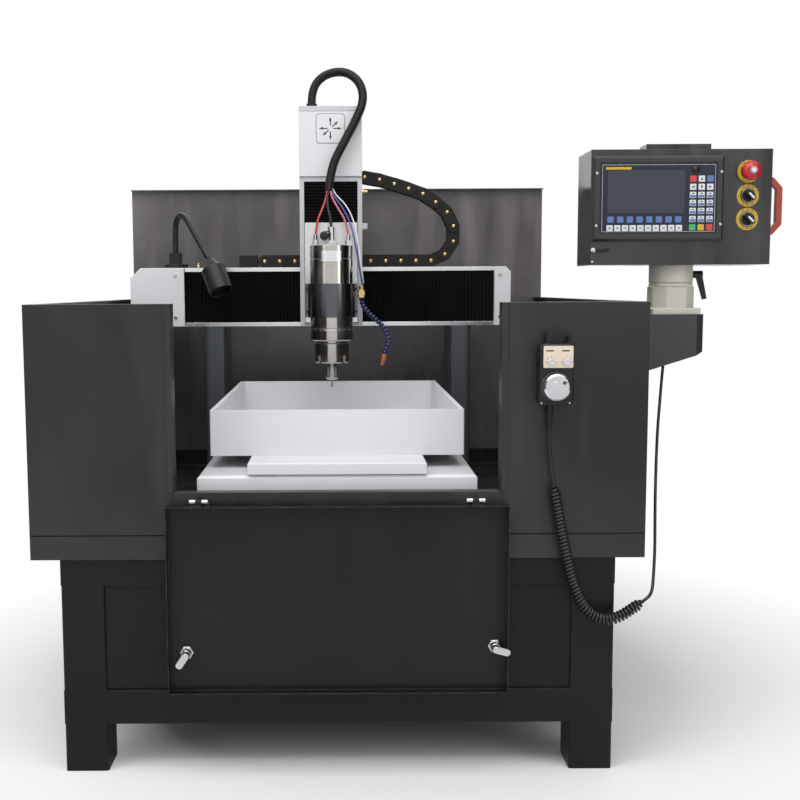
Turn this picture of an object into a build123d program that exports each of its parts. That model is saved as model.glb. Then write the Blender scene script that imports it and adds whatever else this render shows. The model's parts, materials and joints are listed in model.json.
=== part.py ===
from build123d import *
from math import cos, radians, sin, tan
import os

# A moving-table milling machine: a welded stand with a sheet metal enclosure, a bed that carries the
# table, two uprights with a cross beam, a head that slides on the beam and a spindle on the head.
# Millimetres. While modelling, X runs from the machine's middle, Y from the front sheet towards the
# back and Z from the floor. Each piece is then moved so that the origin lies on the floor under the
# middle of the whole object's box.

# Sheet metal enclosure
cover_width = 1150
cover_depth = 1111
cover_top = 891
back_top = 1193
sheet = 3
sheet_flange = 22
opening_half = 304.5
opening_return = 40
lip_width = 10
lip_proud = 4
sill_top = 541

# Tray and stand
tray_bottom = 414
tray_lip = 46
frame_width = 1044
frame_inset = 8
tube = 82
tube_radius = 5
top_rail_height = 51
low_beam_bottom = 93
low_beam_height = 66
panel_recess = 5

# Door, shown hanging open
door_width = 636
door_height = 356
door_sheet = 2
door_flange = 22
door_gap = 5
door_play = 0.3
hinge_drop = 7.6
hinge_length = 34
hinge_barrel = 9
hinge_pin = 5
hinge_pin_play = 0.1
hinge_x = 256.5
hinge_leaf = 2
lock_hole = 16
lock_shaft = 11
cam_length = 27
cam_width = 13
cam_thickness = 3
cam_gap = 4
left_lock = (-284, 238)
right_lock = (294, 248)
left_cam_angle = 236
right_cam_angle = -15

# Bed and table
bed_half = 250
bed_front = 40
bed_length = 1020
bed_height = 118
bed_wall = 30
bed_top_plate = 20
rail_width = 15
rail_height = 12
y_rail_x = 120
bed_cover_half = 264.5
bed_cover_front = 30
bed_cover_length = 1045
bed_cover_top = 567
cover_slot = 42
cover_slot_end = 45
table_width = 338
table_front = 28
table_length = 700
table_thickness = 22
table_gap = 2
tank_width = 499
tank_front = 122
tank_length = 681
tank_height = 90
tank_wall = 10
slide_play = 0.3
block_width = 34
block_length = 60
block_inset = 100

# Screws and motors
screw_diameter = 16
screw_play = 0.1
motor_side = 57
motor_length = 76
motor_corner = 5
coupling_length = 30
coupling_wall = 6

# Uprights and cross beam
upright_inner = 290
upright_thickness = 48
upright_front = 780
upright_depth = 198
beam_left = -386
beam_right = 397
beam_front = 781
beam_depth = 149
beam_bottom = 823
beam_top = 971
beam_strip = 10
beam_web = 25
beam_groove = 40
beam_groove_depth = 32
x_rail_offset = 42
motor_cover_width = 136
end_cap_width = 41
cap_front = 772
cap_corner = 26
cap_wall = 3
bellows_depth = 10
pleat_pitch = 9
pleat_height = 5

# Sliding head
head_x = -14
head_half = 75.5
head_front = 672
head_back = 778
head_bottom = 828
head_top = 1186
head_wall = 11
head_web = 20
head_plate = 12
z_rail_offset = 42
z_screw_y = 742
z_screw_diameter = 12
z_cover_top = 1352
z_cover_front = 668
z_cover_back = 790
bellows_bottom = 1076

# Spindle
plate_front = 668
plate_thickness = 16
plate_bottom = 836
spindle_x = -13
spindle_y = 597
spindle_diameter = 100
spindle_bottom = 794.5
spindle_top = 1019.5
collar_diameter = 81
collar_bottom = 742
clamp_bottom = 850
clamp_top = 929
clamp_wall = 6
clamp_ear_reach = 12
ear_thickness = 26
shaft_diameter = 20
shaft_play = 0.1
collet_diameter = 32
collet_top = 732
collet_bottom = 701
cutter_diameter = 6
cutter_tip = 683.5
fitting_left = -57.8
fitting_right = 33.4
fitting_height = 24

# Conduit and coolant line
conduit_diameter = 21
gland_diameter = 30
gland_height = 16
hose_diameter = 13
hose_bead = 9
valve_size = 18

# Drag chain
chain_pitch = 38.4
chain_height = 31
chain_width = 42
chain_plate = 3.4
chain_plate_gap = 0.3
chain_front = 790.4
chain_first_pin = -184
chain_lower_links = 10
chain_turns = (24.5, 56, 90, 115, 139, 147, 160, 162, 164, 170)

# Work lamp
lamp_base_x = -417
lamp_base_y = 845
lamp_base_diameter = 64
lamp_base_height = 12
lamp_block = 30
lamp_block_height = 28
neck_diameter = 15
shade_gap = 1.6
lamp_head_diameter = 60
lamp_head_length = 70
lamp_cone_length = 30
lamp_back = (-319, 738, 992)
lamp_aim = (0.36, -0.35, -0.865)

# Console on its arm
console_width = 358
console_overhang = 179.5
console_front = 185
console_depth = 120
console_bottom = 961
console_top = 1187
console_cap = (128, 50, 11)
console_cap_inset = 174
unit_inset = 2
unit_width = 259
unit_bottom = 1007.5
unit_top = 1174.5
unit_proud = 9
unit_bevel = 5
film_margin = 14
film_recess = 1
switch_inset = 48
estop_z = 1143
upper_switch_z = 1096
lower_switch_z = 1050
switch_hole = 22
estop_diameter = 38
button_reach = 30
crown_rise = 11
knob_diameter = 24
knob_height = 19
switch_play = 0.1
handle_reach = 42
handle_length = 122
handle_bar = 12
column_gap = 108.5
column_y = 245
column_side = 84
column_corner = 22
column_top = 917.5
column_flange = 96
column_flange_height = 13
swivel_diameter = 87
swivel_stem = 60
swivel_stem_height = 30
lever_hub = 15
lever_length = 50
bracket_front = 192
bracket_depth = 108
bracket_reach = 166
bracket_top = 862.2
bracket_tip_height = 76
bracket_root_height = 129
bracket_corner = 18

# Handset with its hand wheel
handset_x = 398.6
handset_bottom = 704
handset_width = 62
handset_height = 112
handset_depth = 34
handset_corner = 9
handset_seat = 0.3
loop_height = 20
loop_width = 46
loop_bar = 6
wheel_x = 397
wheel_z = 738.5
wheel_diameter = 48
wheel_height = 17
wheel_boss = 54
dial_z = 783.4
dial_diameter = 12
dial_height = 9
dial_left_x = 388
dial_right_x = 416.3
relief_length = 48
relief_diameter = 12
cord_diameter = 6
curl_diameter = 22

# Places that follow from the sizes above
side = cover_width / 2
tray_top = tray_bottom + tray_lip
tray_floor = tray_bottom + sheet
beam_back = beam_front + beam_depth
beam_web_y = beam_front + beam_web
beam_middle = (beam_bottom + beam_top) / 2
x_screw_y = beam_web_y + 12
table_bottom = bed_cover_top + table_gap
table_top = table_bottom + table_thickness
bed_top = tray_floor + bed_height
y_screw_z = bed_top - 36
hinge_y = -(door_gap + door_flange + door_play) / 2
door_top = sill_top - hinge_drop * 3
hinge_z = door_top + hinge_drop
door_bottom = door_top - door_height
door_tip = -(door_gap + door_flange)
wheel_front = -(handset_seat + handset_depth + wheel_height + 2)
clamp_ear = spindle_diameter / 2 + clamp_ear_reach
column_x = side + column_gap
console_left = column_x - console_overhang
console_right = console_left + console_width
console_cap_x = console_left + console_cap_inset
unit_left = console_left + unit_inset
unit_right = unit_left + unit_width
switch_x = console_right - switch_inset
reach_x = (console_right + handle_reach - side) / 2
reach_y = (cover_depth + wheel_front) / 2

os.makedirs("parts", exist_ok=True)


def save(piece, name):
    """Move a finished piece into the object's own frame, label it and write it."""
    placed = piece.part.moved(Location((-reach_x, -reach_y, 0)))
    placed.label = name
    export_step(placed, f"parts/{name}.step")


def corner_radii(points):
    """The radius at each corner of a route: 0.45 of the shorter run over the tangent of half the turn."""
    radii = []
    for before, corner, after in zip(points, points[1:], points[2:]):
        run_in = Vector(corner) - Vector(before)
        run_out = Vector(after) - Vector(corner)
        turn = run_in.get_angle(run_out)
        radii.append(0.45 * min(run_in.length, run_out.length) / tan(radians(turn) / 2))
    return radii


def cord_route(name, points):
    """A route of straight runs with tangent arcs, with its radii printed."""
    radii = corner_radii(points)
    print(name, "radii", [round(r, 1) for r in radii])
    return FilletPolyline(*points, radius=radii)


# Welded stand: four box legs closed at the foot, a top ring and a lower ring
frame_depth = cover_depth - 2 * frame_inset
frame_middle = cover_depth / 2
leg_x = (frame_width - tube) / 2
leg_y = (frame_depth - tube) / 2
low_beam_middle = low_beam_bottom + low_beam_height / 2
top_rail_bottom = tray_bottom - top_rail_height
with BuildPart() as base_frame:
    with BuildSketch(Plane.XY):
        with Locations((0, frame_middle)):
            with GridLocations(2 * leg_x, 2 * leg_y, 2, 2):
                RectangleRounded(tube, tube, tube_radius)
    extrude(amount=tray_bottom)
    for bottom, height in ((low_beam_bottom, low_beam_height), (top_rail_bottom, top_rail_height)):
        with BuildSketch(Plane.XY.offset(bottom)):
            with Locations((0, frame_middle)):
                Rectangle(frame_width, frame_depth)
                Rectangle(frame_width - 2 * tube, frame_depth - 2 * tube, mode=Mode.SUBTRACT)
        extrude(amount=height)
save(base_frame, "base_frame")

# Sheets that close the stand between its rings, set back a little from the tubes
infill_bottom = low_beam_bottom + low_beam_height
infill_height = top_rail_bottom - infill_bottom
with BuildPart() as base_panels:
    with BuildSketch(Plane.XY.offset(infill_bottom)):
        with Locations((0, frame_middle)):
            with GridLocations(1, frame_depth - 2 * panel_recess - sheet, 1, 2):
                Rectangle(frame_width - 2 * tube, sheet)
            with GridLocations(frame_width - 2 * panel_recess - sheet, 1, 2, 1):
                Rectangle(sheet, frame_depth - 2 * tube)
    extrude(amount=infill_height)
save(base_panels, "base_panels")

# Chip tray with its lip, and the sill plate that closes the front under the opening
with BuildPart() as tray:
    with BuildSketch(Plane.XY.offset(tray_bottom)):
        with Locations((0, cover_depth / 2)):
            Rectangle(cover_width, cover_depth)
    extrude(amount=tray_lip)
    with BuildSketch(Plane.XY.offset(tray_floor)):
        with Locations((0, cover_depth / 2)):
            Rectangle(cover_width - 2 * sheet, cover_depth - 2 * sheet)
    extrude(amount=tray_lip, mode=Mode.SUBTRACT)
    with BuildSketch(Plane.YZ.offset(-opening_half + slide_play)):
        with BuildLine():
            Polyline(
                (0, tray_top - sheet),
                (0, sill_top),
                (sheet_flange, sill_top),
                (sheet_flange, sill_top - sheet),
                (sheet, sill_top - sheet),
                (sheet, tray_top - sheet),
                close=True,
            )
        make_face()
    extrude(amount=2 * (opening_half - slide_play))
save(tray, "tray")

# Side covers: a front sheet and a side sheet folded from one piece, with a raised lip at the opening
for hand, name in ((-1, "left_cover"), (1, "right_cover")):
    with BuildPart() as cover:
        with BuildSketch(Plane.XY.offset(tray_top)):
            with BuildLine():
                Polyline(
                    (hand * side, 0),
                    (hand * opening_half, 0),
                    (hand * opening_half, opening_return),
                    (hand * (opening_half + sheet), opening_return),
                    (hand * (opening_half + sheet), sheet),
                    (hand * (side - sheet), sheet),
                    (hand * (side - sheet), cover_depth - sheet),
                    (hand * side, cover_depth - sheet),
                    close=True,
                )
            make_face()
        extrude(amount=cover_top - tray_top)
        with BuildSketch(Plane.XY.offset(cover_top - sheet)):
            with BuildLine():
                Polyline(
                    (hand * side, 0),
                    (hand * opening_half, 0),
                    (hand * opening_half, sheet_flange),
                    (hand * (side - sheet_flange), sheet_flange),
                    (hand * (side - sheet_flange), cover_depth - sheet),
                    (hand * side, cover_depth - sheet),
                    close=True,
                )
            make_face()
        extrude(amount=sheet)
        with BuildSketch(Plane.XY.offset(sill_top)):
            with Locations((hand * (opening_half + lip_width / 2), -lip_proud / 2)):
                Rectangle(lip_width, lip_proud)
        extrude(amount=cover_top - sill_top)
    save(cover, name)

# Back sheet with its top edge folded forwards
with BuildPart() as back_panel:
    with BuildSketch(Plane.YZ.offset(-side)):
        with BuildLine():
            Polyline(
                (cover_depth, tray_top),
                (cover_depth, back_top),
                (cover_depth - sheet_flange, back_top),
                (cover_depth - sheet_flange, back_top - sheet),
                (cover_depth - sheet, back_top - sheet),
                (cover_depth - sheet, tray_top),
                close=True,
            )
        make_face()
    extrude(amount=cover_width)
save(back_panel, "back_panel")

# Door: a pan of folded sheet whose flanges face the viewer while it hangs open
lock_places = (left_lock, right_lock)
with BuildPart() as door:
    with BuildSketch(Plane.XZ.offset(door_gap)):
        with Locations((0, (door_top + door_bottom) / 2)):
            Rectangle(door_width, door_height)
    extrude(amount=door_flange)
    with BuildSketch(Plane.XZ.offset(door_gap + door_sheet)):
        with Locations((0, (door_top + door_bottom) / 2)):
            Rectangle(door_width - 2 * door_sheet, door_height - 2 * door_sheet)
    extrude(amount=door_flange, mode=Mode.SUBTRACT)
    for lock_x, lock_z in lock_places:
        with BuildSketch(Plane.XZ.offset(door_gap)):
            with Locations((lock_x, lock_z)):
                Circle(lock_hole / 2)
        extrude(amount=-door_tip - door_gap + cam_gap - slide_play)
        with BuildSketch(Plane.XZ.offset(door_gap - 1)):
            with Locations((lock_x, lock_z)):
                Circle(lock_shaft / 2 + switch_play / 2)
        extrude(amount=door_flange + 2 * cam_gap, mode=Mode.SUBTRACT)
    for hand in (-1, 1):
        with BuildSketch(Plane.YZ.offset(hand * hinge_x - hinge_length / 6)):
            with Locations((hinge_y, hinge_z)):
                Circle(hinge_barrel / 2)
            with Locations((hinge_y - hinge_barrel / 2 + hinge_leaf / 2, (hinge_z + door_top) / 2)):
                Rectangle(hinge_leaf, hinge_z - door_top)
            with Locations(((door_tip + hinge_y) / 2 - 1, door_top + hinge_leaf / 2)):
                Rectangle(hinge_y - door_tip - 2, hinge_leaf)
            with Locations((hinge_y, hinge_z)):
                Circle(hinge_pin / 2 + hinge_pin_play / 2, mode=Mode.SUBTRACT)
        extrude(amount=hinge_length / 3)
save(door, "door")

# Hinge halves on the sill: two outer knuckles, the pin through them and the leaf behind
with BuildPart() as door_hinges:
    for hand in (-1, 1):
        hinge_start = hand * hinge_x - hinge_length / 2
        knuckle = hinge_length / 3 - door_play
        for start in (hinge_start, hinge_start + hinge_length - knuckle):
            with BuildSketch(Plane.YZ.offset(start)):
                with Locations((hinge_y, hinge_z)):
                    Circle(hinge_barrel / 2)
                with Locations((hinge_y / 2, hinge_z)):
                    Rectangle(-hinge_y, hinge_leaf)
            extrude(amount=knuckle)
        with BuildSketch(Plane.YZ.offset(hinge_start)):
            with Locations((hinge_y, hinge_z)):
                Circle(hinge_pin / 2)
            with Locations((-hinge_leaf / 2, hinge_z - hinge_drop)):
                Rectangle(hinge_leaf, 2 * hinge_drop + hinge_leaf)
        extrude(amount=hinge_length)
save(door_hinges, "door_hinges")

# Quarter-turn locks: a shaft through the door and the flat cam that catches behind the lip
cam_back = -door_tip + cam_gap
for (lock_x, lock_z), angle, name in (
    (left_lock, left_cam_angle, "lock_left"),
    (right_lock, right_cam_angle, "lock_right"),
):
    with BuildPart() as lock:
        with BuildSketch(Plane.XZ.offset(door_gap - 1)):
            with Locations((lock_x, lock_z)):
                Circle(lock_shaft / 2)
        extrude(amount=cam_back + cam_thickness - door_gap + 3)
        cam_reach = cam_length - cam_width / 2
        cam_centre = cam_length / 2 - cam_width / 4
        with BuildSketch(Plane.XZ.offset(cam_back)):
            with Locations(Location((lock_x, lock_z), angle)):
                SlotCenterPoint((cam_centre, 0), (cam_reach, 0), cam_width)
        extrude(amount=cam_thickness)
    save(lock, name)

# Bed: a ribbed casting with two rails on top and a trough for the table screw
trough_half = 30
with BuildPart() as bed:
    with BuildSketch(Plane.XZ.offset(-bed_front)):
        with Locations((0, tray_floor + bed_height / 2)):
            Rectangle(2 * bed_half, bed_height)
        pocket_width = bed_half - bed_wall - trough_half - bed_wall
        for hand in (-1, 1):
            with Locations((hand * (trough_half + bed_wall + pocket_width / 2), tray_floor + bed_height / 2)):
                RectangleRounded(pocket_width, bed_height - 2 * bed_top_plate, 12, mode=Mode.SUBTRACT)
        with Locations((0, bed_top - bed_height / 2 + bed_top_plate / 2)):
            Rectangle(2 * trough_half, bed_height - bed_top_plate, mode=Mode.SUBTRACT)
        for hand in (-1, 1):
            with Locations((hand * y_rail_x, bed_top + rail_height / 2)):
                Rectangle(rail_width, rail_height)
    extrude(amount=-bed_length)
save(bed, "bed")

# White cover over the bed, slotted where the table's feet pass
slot_length = bed_cover_length - 2 * cover_slot_end
with BuildPart() as bed_cover:
    with BuildSketch(Plane.XY.offset(tray_floor)):
        with Locations((0, bed_cover_front + bed_cover_length / 2)):
            Rectangle(2 * bed_cover_half, bed_cover_length)
    extrude(amount=bed_cover_top - tray_floor)
    chamfer(bed_cover.faces().sort_by(Axis.Z)[-1].edges(), 5)
    with BuildSketch(Plane.XY.offset(tray_floor)):
        with Locations((0, bed_cover_front + bed_cover_length / 2)):
            Rectangle(2 * (bed_cover_half - sheet), bed_cover_length - 2 * sheet)
    extrude(amount=bed_cover_top - tray_floor - sheet, mode=Mode.SUBTRACT)
    with BuildSketch(Plane.XY.offset(bed_cover_top)):
        for slot_x in (-y_rail_x, 0, y_rail_x):
            with Locations((slot_x, bed_cover_front + bed_cover_length / 2)):
                Rectangle(cover_slot, slot_length)
    extrude(amount=-2 * sheet, mode=Mode.SUBTRACT)
save(bed_cover, "bed_cover")

# Table plate and the open tank on it
with BuildPart() as table_plate:
    with BuildSketch(Plane.XY.offset(table_bottom)):
        with Locations((0, table_front + table_length / 2)):
            Rectangle(table_width, table_length)
    extrude(amount=table_thickness)
    chamfer(table_plate.faces().sort_by(Axis.Z)[-1].edges(), 2)
save(table_plate, "table_plate")

with BuildPart() as tank:
    with BuildSketch(Plane.XY.offset(table_top)):
        with Locations((0, tank_front + tank_length / 2)):
            Rectangle(tank_width, tank_length)
    extrude(amount=tank_height)
    fillet(tank.edges().filter_by(Axis.Z), 2)
    with BuildSketch(Plane.XY.offset(table_top + tank_wall)):
        with Locations((0, tank_front + tank_length / 2)):
            Rectangle(tank_width - 2 * tank_wall, tank_length - 2 * tank_wall)
    extrude(amount=tank_height, mode=Mode.SUBTRACT)
save(tank, "tank")

# Four guide blocks and the screw nut under the table, all bolted to the plate
block_rows = (table_front + block_inset, table_front + table_length - block_inset)
nut_y = table_front + table_length / 2
with BuildPart() as y_blocks:
    for block_x in (-y_rail_x, y_rail_x):
        for block_y in block_rows:
            with BuildSketch(Plane.XZ.offset(-(block_y - block_length / 2))):
                with Locations((block_x, (bed_top + 3 + table_bottom) / 2)):
                    Rectangle(block_width, table_bottom - bed_top - 3)
                with Locations((block_x, bed_top + rail_height / 2)):
                    Rectangle(
                        rail_width + 2 * slide_play, rail_height + 2 * slide_play, mode=Mode.SUBTRACT
                    )
            extrude(amount=-block_length)
    with BuildSketch(Plane.XZ.offset(-(nut_y - block_length / 2))):
        with Locations((0, (y_screw_z - block_width / 2 + table_bottom) / 2)):
            Rectangle(block_width, table_bottom - y_screw_z + block_width / 2)
        with Locations((0, y_screw_z)):
            Circle(screw_diameter / 2 + screw_play / 2, mode=Mode.SUBTRACT)
    extrude(amount=-block_length)
save(y_blocks, "y_blocks")

# Table screw in the trough of the bed, turned by the motor behind it
y_motor_front = bed_front + bed_length - motor_length - 6
with BuildPart() as y_screw:
    with BuildSketch(Plane.XZ.offset(-(bed_front + 12))):
        with Locations((0, y_screw_z)):
            Circle(screw_diameter / 2)
    extrude(amount=-(y_motor_front - bed_front - 12 - slide_play))
    with BuildSketch(Plane.XZ.offset(-(y_motor_front - coupling_length))):
        with Locations((0, y_screw_z)):
            Circle(screw_diameter / 2 + coupling_wall)
    extrude(amount=-(coupling_length - slide_play))
save(y_screw, "y_screw")

# Uprights: two castings with a stepped foot, standing on the tray
with BuildPart() as uprights:
    for hand in (-1, 1):
        with BuildSketch(Plane.XZ.offset(-upright_front)):
            with Locations((hand * (upright_inner + upright_thickness / 2), (tray_floor + beam_bottom) / 2)):
                Rectangle(upright_thickness, beam_bottom - tray_floor)
        extrude(amount=-upright_depth)
    outer_edges = uprights.edges().filter_by(Axis.Z).group_by(Axis.Y)[0]
    fillet([edge for edge in outer_edges if abs(edge.center().X) > upright_inner + 1], 14)
save(uprights, "uprights")

# Cross beam: a channel with bright strips along its edges, a screw groove and two rails
with BuildPart() as x_beam:
    with BuildSketch(Plane.YZ.offset(beam_left)):
        with Locations(((beam_front + beam_back) / 2, beam_middle)):
            Rectangle(beam_depth, beam_top - beam_bottom)
        with Locations((beam_front + beam_web / 2, beam_middle)):
            Rectangle(beam_web, beam_top - beam_bottom - 2 * beam_strip, mode=Mode.SUBTRACT)
        with Locations((beam_web_y + beam_groove_depth / 2, beam_middle)):
            Rectangle(beam_groove_depth, beam_groove, mode=Mode.SUBTRACT)
        with Locations((beam_back - 44, beam_middle)):
            RectangleRounded(50, beam_top - beam_bottom - 40, 8, mode=Mode.SUBTRACT)
        for offset_z in (-x_rail_offset, x_rail_offset):
            with Locations((beam_web_y - rail_height / 2, beam_middle + offset_z)):
                Rectangle(rail_height, rail_width)
    extrude(amount=beam_right - beam_left)
save(x_beam, "x_beam")

# Covers at the beam's ends: the motor's box on the left, a bearing cap on the right
cover_left = beam_left - motor_cover_width
with BuildPart() as x_motor_cover:
    with BuildSketch(Plane.XZ.offset(-cap_front)):
        with BuildLine():
            Polyline(
                (beam_left, beam_bottom),
                (beam_left, beam_top),
                (cover_left + cap_corner, beam_top),
                (cover_left, beam_top - cap_corner),
                (cover_left, beam_bottom),
                close=True,
            )
        make_face()
    extrude(amount=-(beam_back - cap_front))
    fillet(x_motor_cover.faces().sort_by(Axis.Y)[0].edges(), 1.5)
    with BuildSketch(Plane.YZ.offset(beam_left)):
        with Locations(((cap_front + beam_back) / 2, beam_middle)):
            Rectangle(beam_back - cap_front - 2 * cap_wall, beam_top - beam_bottom - 2 * cap_wall)
    extrude(amount=-(coupling_length + motor_length + 2), mode=Mode.SUBTRACT)
save(x_motor_cover, "x_motor_cover")

cap_right = beam_right + end_cap_width
with BuildPart() as x_end_cap:
    with BuildSketch(Plane.XZ.offset(-cap_front)):
        with BuildLine():
            Polyline(
                (beam_right, beam_bottom),
                (cap_right - cap_corner / 2, beam_bottom),
                (cap_right, beam_bottom + cap_corner / 2),
                (cap_right, beam_top - cap_corner / 2),
                (cap_right - cap_corner / 2, beam_top),
                (beam_right, beam_top),
                close=True,
            )
        make_face()
    extrude(amount=-(beam_back - cap_front))
    fillet(x_end_cap.faces().sort_by(Axis.Y)[0].edges(), 1.5)
    with BuildSketch(Plane.YZ.offset(beam_right)):
        with Locations((x_screw_y, beam_middle)):
            Circle(screw_diameter / 2 + screw_play / 2)
    extrude(amount=end_cap_width / 2, mode=Mode.SUBTRACT)
save(x_end_cap, "x_end_cap")

# Beam and bed motors, which are the same pattern
x_motor_right = beam_left - coupling_length
with BuildPart() as axis_motors:
    with BuildSketch(Plane.YZ.offset(x_motor_right)):
        with Locations((x_screw_y, beam_middle)):
            RectangleRounded(motor_side, motor_side, motor_corner)
    extrude(amount=-motor_length)
    with BuildSketch(Plane.XZ.offset(-y_motor_front)):
        with Locations((0, y_screw_z)):
            RectangleRounded(motor_side, motor_side, motor_corner)
    extrude(amount=-motor_length)
save(axis_motors, "axis_motors")

# Beam screw with its coupling
with BuildPart() as x_screw:
    with BuildSketch(Plane.YZ.offset(x_motor_right + slide_play)):
        with Locations((x_screw_y, beam_middle)):
            Circle(screw_diameter / 2)
    extrude(amount=beam_right + end_cap_width / 2 - x_motor_right - 2 * slide_play)
    with BuildSketch(Plane.YZ.offset(x_motor_right + slide_play)):
        with Locations((x_screw_y, beam_middle)):
            Circle(screw_diameter / 2 + coupling_wall)
    extrude(amount=coupling_length)
save(x_screw, "x_screw")

# Guide blocks and nut behind the sliding head
head_left = head_x - head_half
head_right = head_x + head_half
block_skirt = beam_web_y - 3
with BuildPart() as x_blocks:
    for block_x in (head_x - 44, head_x + 44):
        for offset_z in (-x_rail_offset, x_rail_offset):
            with BuildSketch(Plane.YZ.offset(block_x - 25)):
                with Locations(((head_back + block_skirt) / 2, beam_middle + offset_z)):
                    Rectangle(block_skirt - head_back, block_width)
                with Locations((beam_web_y - rail_height / 2, beam_middle + offset_z)):
                    Rectangle(
                        rail_height + 2 * slide_play, rail_width + 2 * slide_play, mode=Mode.SUBTRACT
                    )
            extrude(amount=50)
    nut_back = beam_web_y + beam_groove_depth - 4
    with BuildSketch(Plane.YZ.offset(head_x - 25)):
        with Locations(((head_back + nut_back) / 2, beam_middle)):
            Rectangle(nut_back - head_back, block_width)
        with Locations((x_screw_y, beam_middle)):
            Circle(screw_diameter / 2 + screw_play / 2, mode=Mode.SUBTRACT)
    extrude(amount=50)
save(x_blocks, "x_blocks")


def pleated_strip(start, end, thickness):
    """The closed outline of a pleated strip: a zigzag front from start to end with a flat back."""
    count = max(2, round(abs(end - start) / pleat_pitch))
    step = (end - start) / count
    zigzag = [(start, 0)]
    for i in range(count):
        zigzag.append((start + (i + 0.5) * step, -pleat_height))
        zigzag.append((start + (i + 1) * step, 0))
    return [(start, thickness)] + zigzag + [(end, thickness)]


# Pleated covers left and right of the head, and the one over the head's own rails
bellows_y = beam_front + pleat_height + slide_play
bellows_height = beam_top - beam_bottom - 2 * beam_strip - 2 * slide_play
for start, end, name in (
    (beam_left + slide_play, head_left - slide_play, "x_bellows_left"),
    (head_right + slide_play, beam_right - slide_play, "x_bellows_right"),
):
    with BuildPart() as bellows:
        with BuildSketch(Plane.XY.offset(beam_middle - bellows_height / 2)):
            with BuildLine():
                outline = pleated_strip(start, end, bellows_depth - pleat_height)
                Polyline([(x, bellows_y + y) for x, y in outline], close=True)
            make_face()
        extrude(amount=bellows_height)
    save(bellows, name)

channel_half = head_half - head_wall
with BuildPart() as z_bellows:
    with BuildSketch(Plane.YZ.offset(head_x - channel_half + slide_play)):
        with BuildLine():
            outline = pleated_strip(
                bellows_bottom + slide_play,
                head_top - head_plate - slide_play,
                bellows_depth - pleat_height,
            )
            Polyline([(head_front + pleat_height + y, z) for z, y in outline], close=True)
        make_face()
    extrude(amount=2 * channel_half - 2 * slide_play)
save(z_bellows, "z_bellows")

# Head: a channel with the vertical rails inside and plates that hold its screw
with BuildPart() as z_body:
    with BuildSketch(Plane.XY.offset(head_bottom)):
        with Locations((head_x, (head_front + head_back) / 2)):
            Rectangle(2 * head_half, head_back - head_front)
        with Locations((head_x, (head_front + head_back - head_web) / 2)):
            Rectangle(2 * channel_half, head_back - head_front - head_web, mode=Mode.SUBTRACT)
        for offset_x in (-z_rail_offset, z_rail_offset):
            with Locations((head_x + offset_x, head_back - head_web - rail_height / 2)):
                Rectangle(rail_width, rail_height)
    extrude(amount=head_top - head_bottom)
    low_plate_front = plate_front + plate_thickness + 2
    with BuildSketch(Plane.XY.offset(head_bottom)):
        with Locations((head_x, (low_plate_front + head_back) / 2)):
            Rectangle(2 * channel_half, head_back - low_plate_front)
        with Locations((head_x, z_screw_y)):
            Circle(z_screw_diameter / 2 + screw_play / 2, mode=Mode.SUBTRACT)
    extrude(amount=head_plate)
    with BuildSketch(Plane.XY.offset(head_top - head_plate)):
        with Locations((head_x, (head_front + head_back) / 2)):
            Rectangle(2 * channel_half, head_back - head_front)
        with Locations((head_x, z_screw_y)):
            Circle(z_screw_diameter / 2 + screw_play / 2, mode=Mode.SUBTRACT)
    extrude(amount=head_plate)
save(z_body, "z_body")

# Motor and white cover on top of the head
with BuildPart() as z_motor:
    with BuildSketch(Plane.XY.offset(head_top)):
        with Locations((head_x, z_screw_y)):
            RectangleRounded(motor_side, motor_side, motor_corner)
    extrude(amount=motor_length)
save(z_motor, "z_motor")

gland_x = -59.7
gland_y = 730
with BuildPart() as z_motor_cover:
    with BuildSketch(Plane.XY.offset(head_top)):
        with Locations((head_x, (z_cover_front + z_cover_back) / 2)):
            Rectangle(2 * head_half, z_cover_back - z_cover_front)
    extrude(amount=z_cover_top - head_top)
    fillet(z_motor_cover.edges().filter_by(Axis.Z), 2)
    fillet(z_motor_cover.faces().sort_by(Axis.Z)[-1].edges(), 1.5)
    with BuildSketch(Plane.XY.offset(head_top)):
        with Locations((head_x, (z_cover_front + z_cover_back) / 2)):
            Rectangle(2 * (head_half - cap_wall), z_cover_back - z_cover_front - 2 * cap_wall)
    extrude(amount=z_cover_top - head_top - cap_wall, mode=Mode.SUBTRACT)
save(z_motor_cover, "z_motor_cover")

# Head screw
with BuildPart() as z_screw:
    with BuildSketch(Plane.XY.offset(head_bottom + 4)):
        with Locations((head_x, z_screw_y)):
            Circle(z_screw_diameter / 2)
    extrude(amount=head_top - head_bottom - 4 - slide_play)
save(z_screw, "z_screw")

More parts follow.
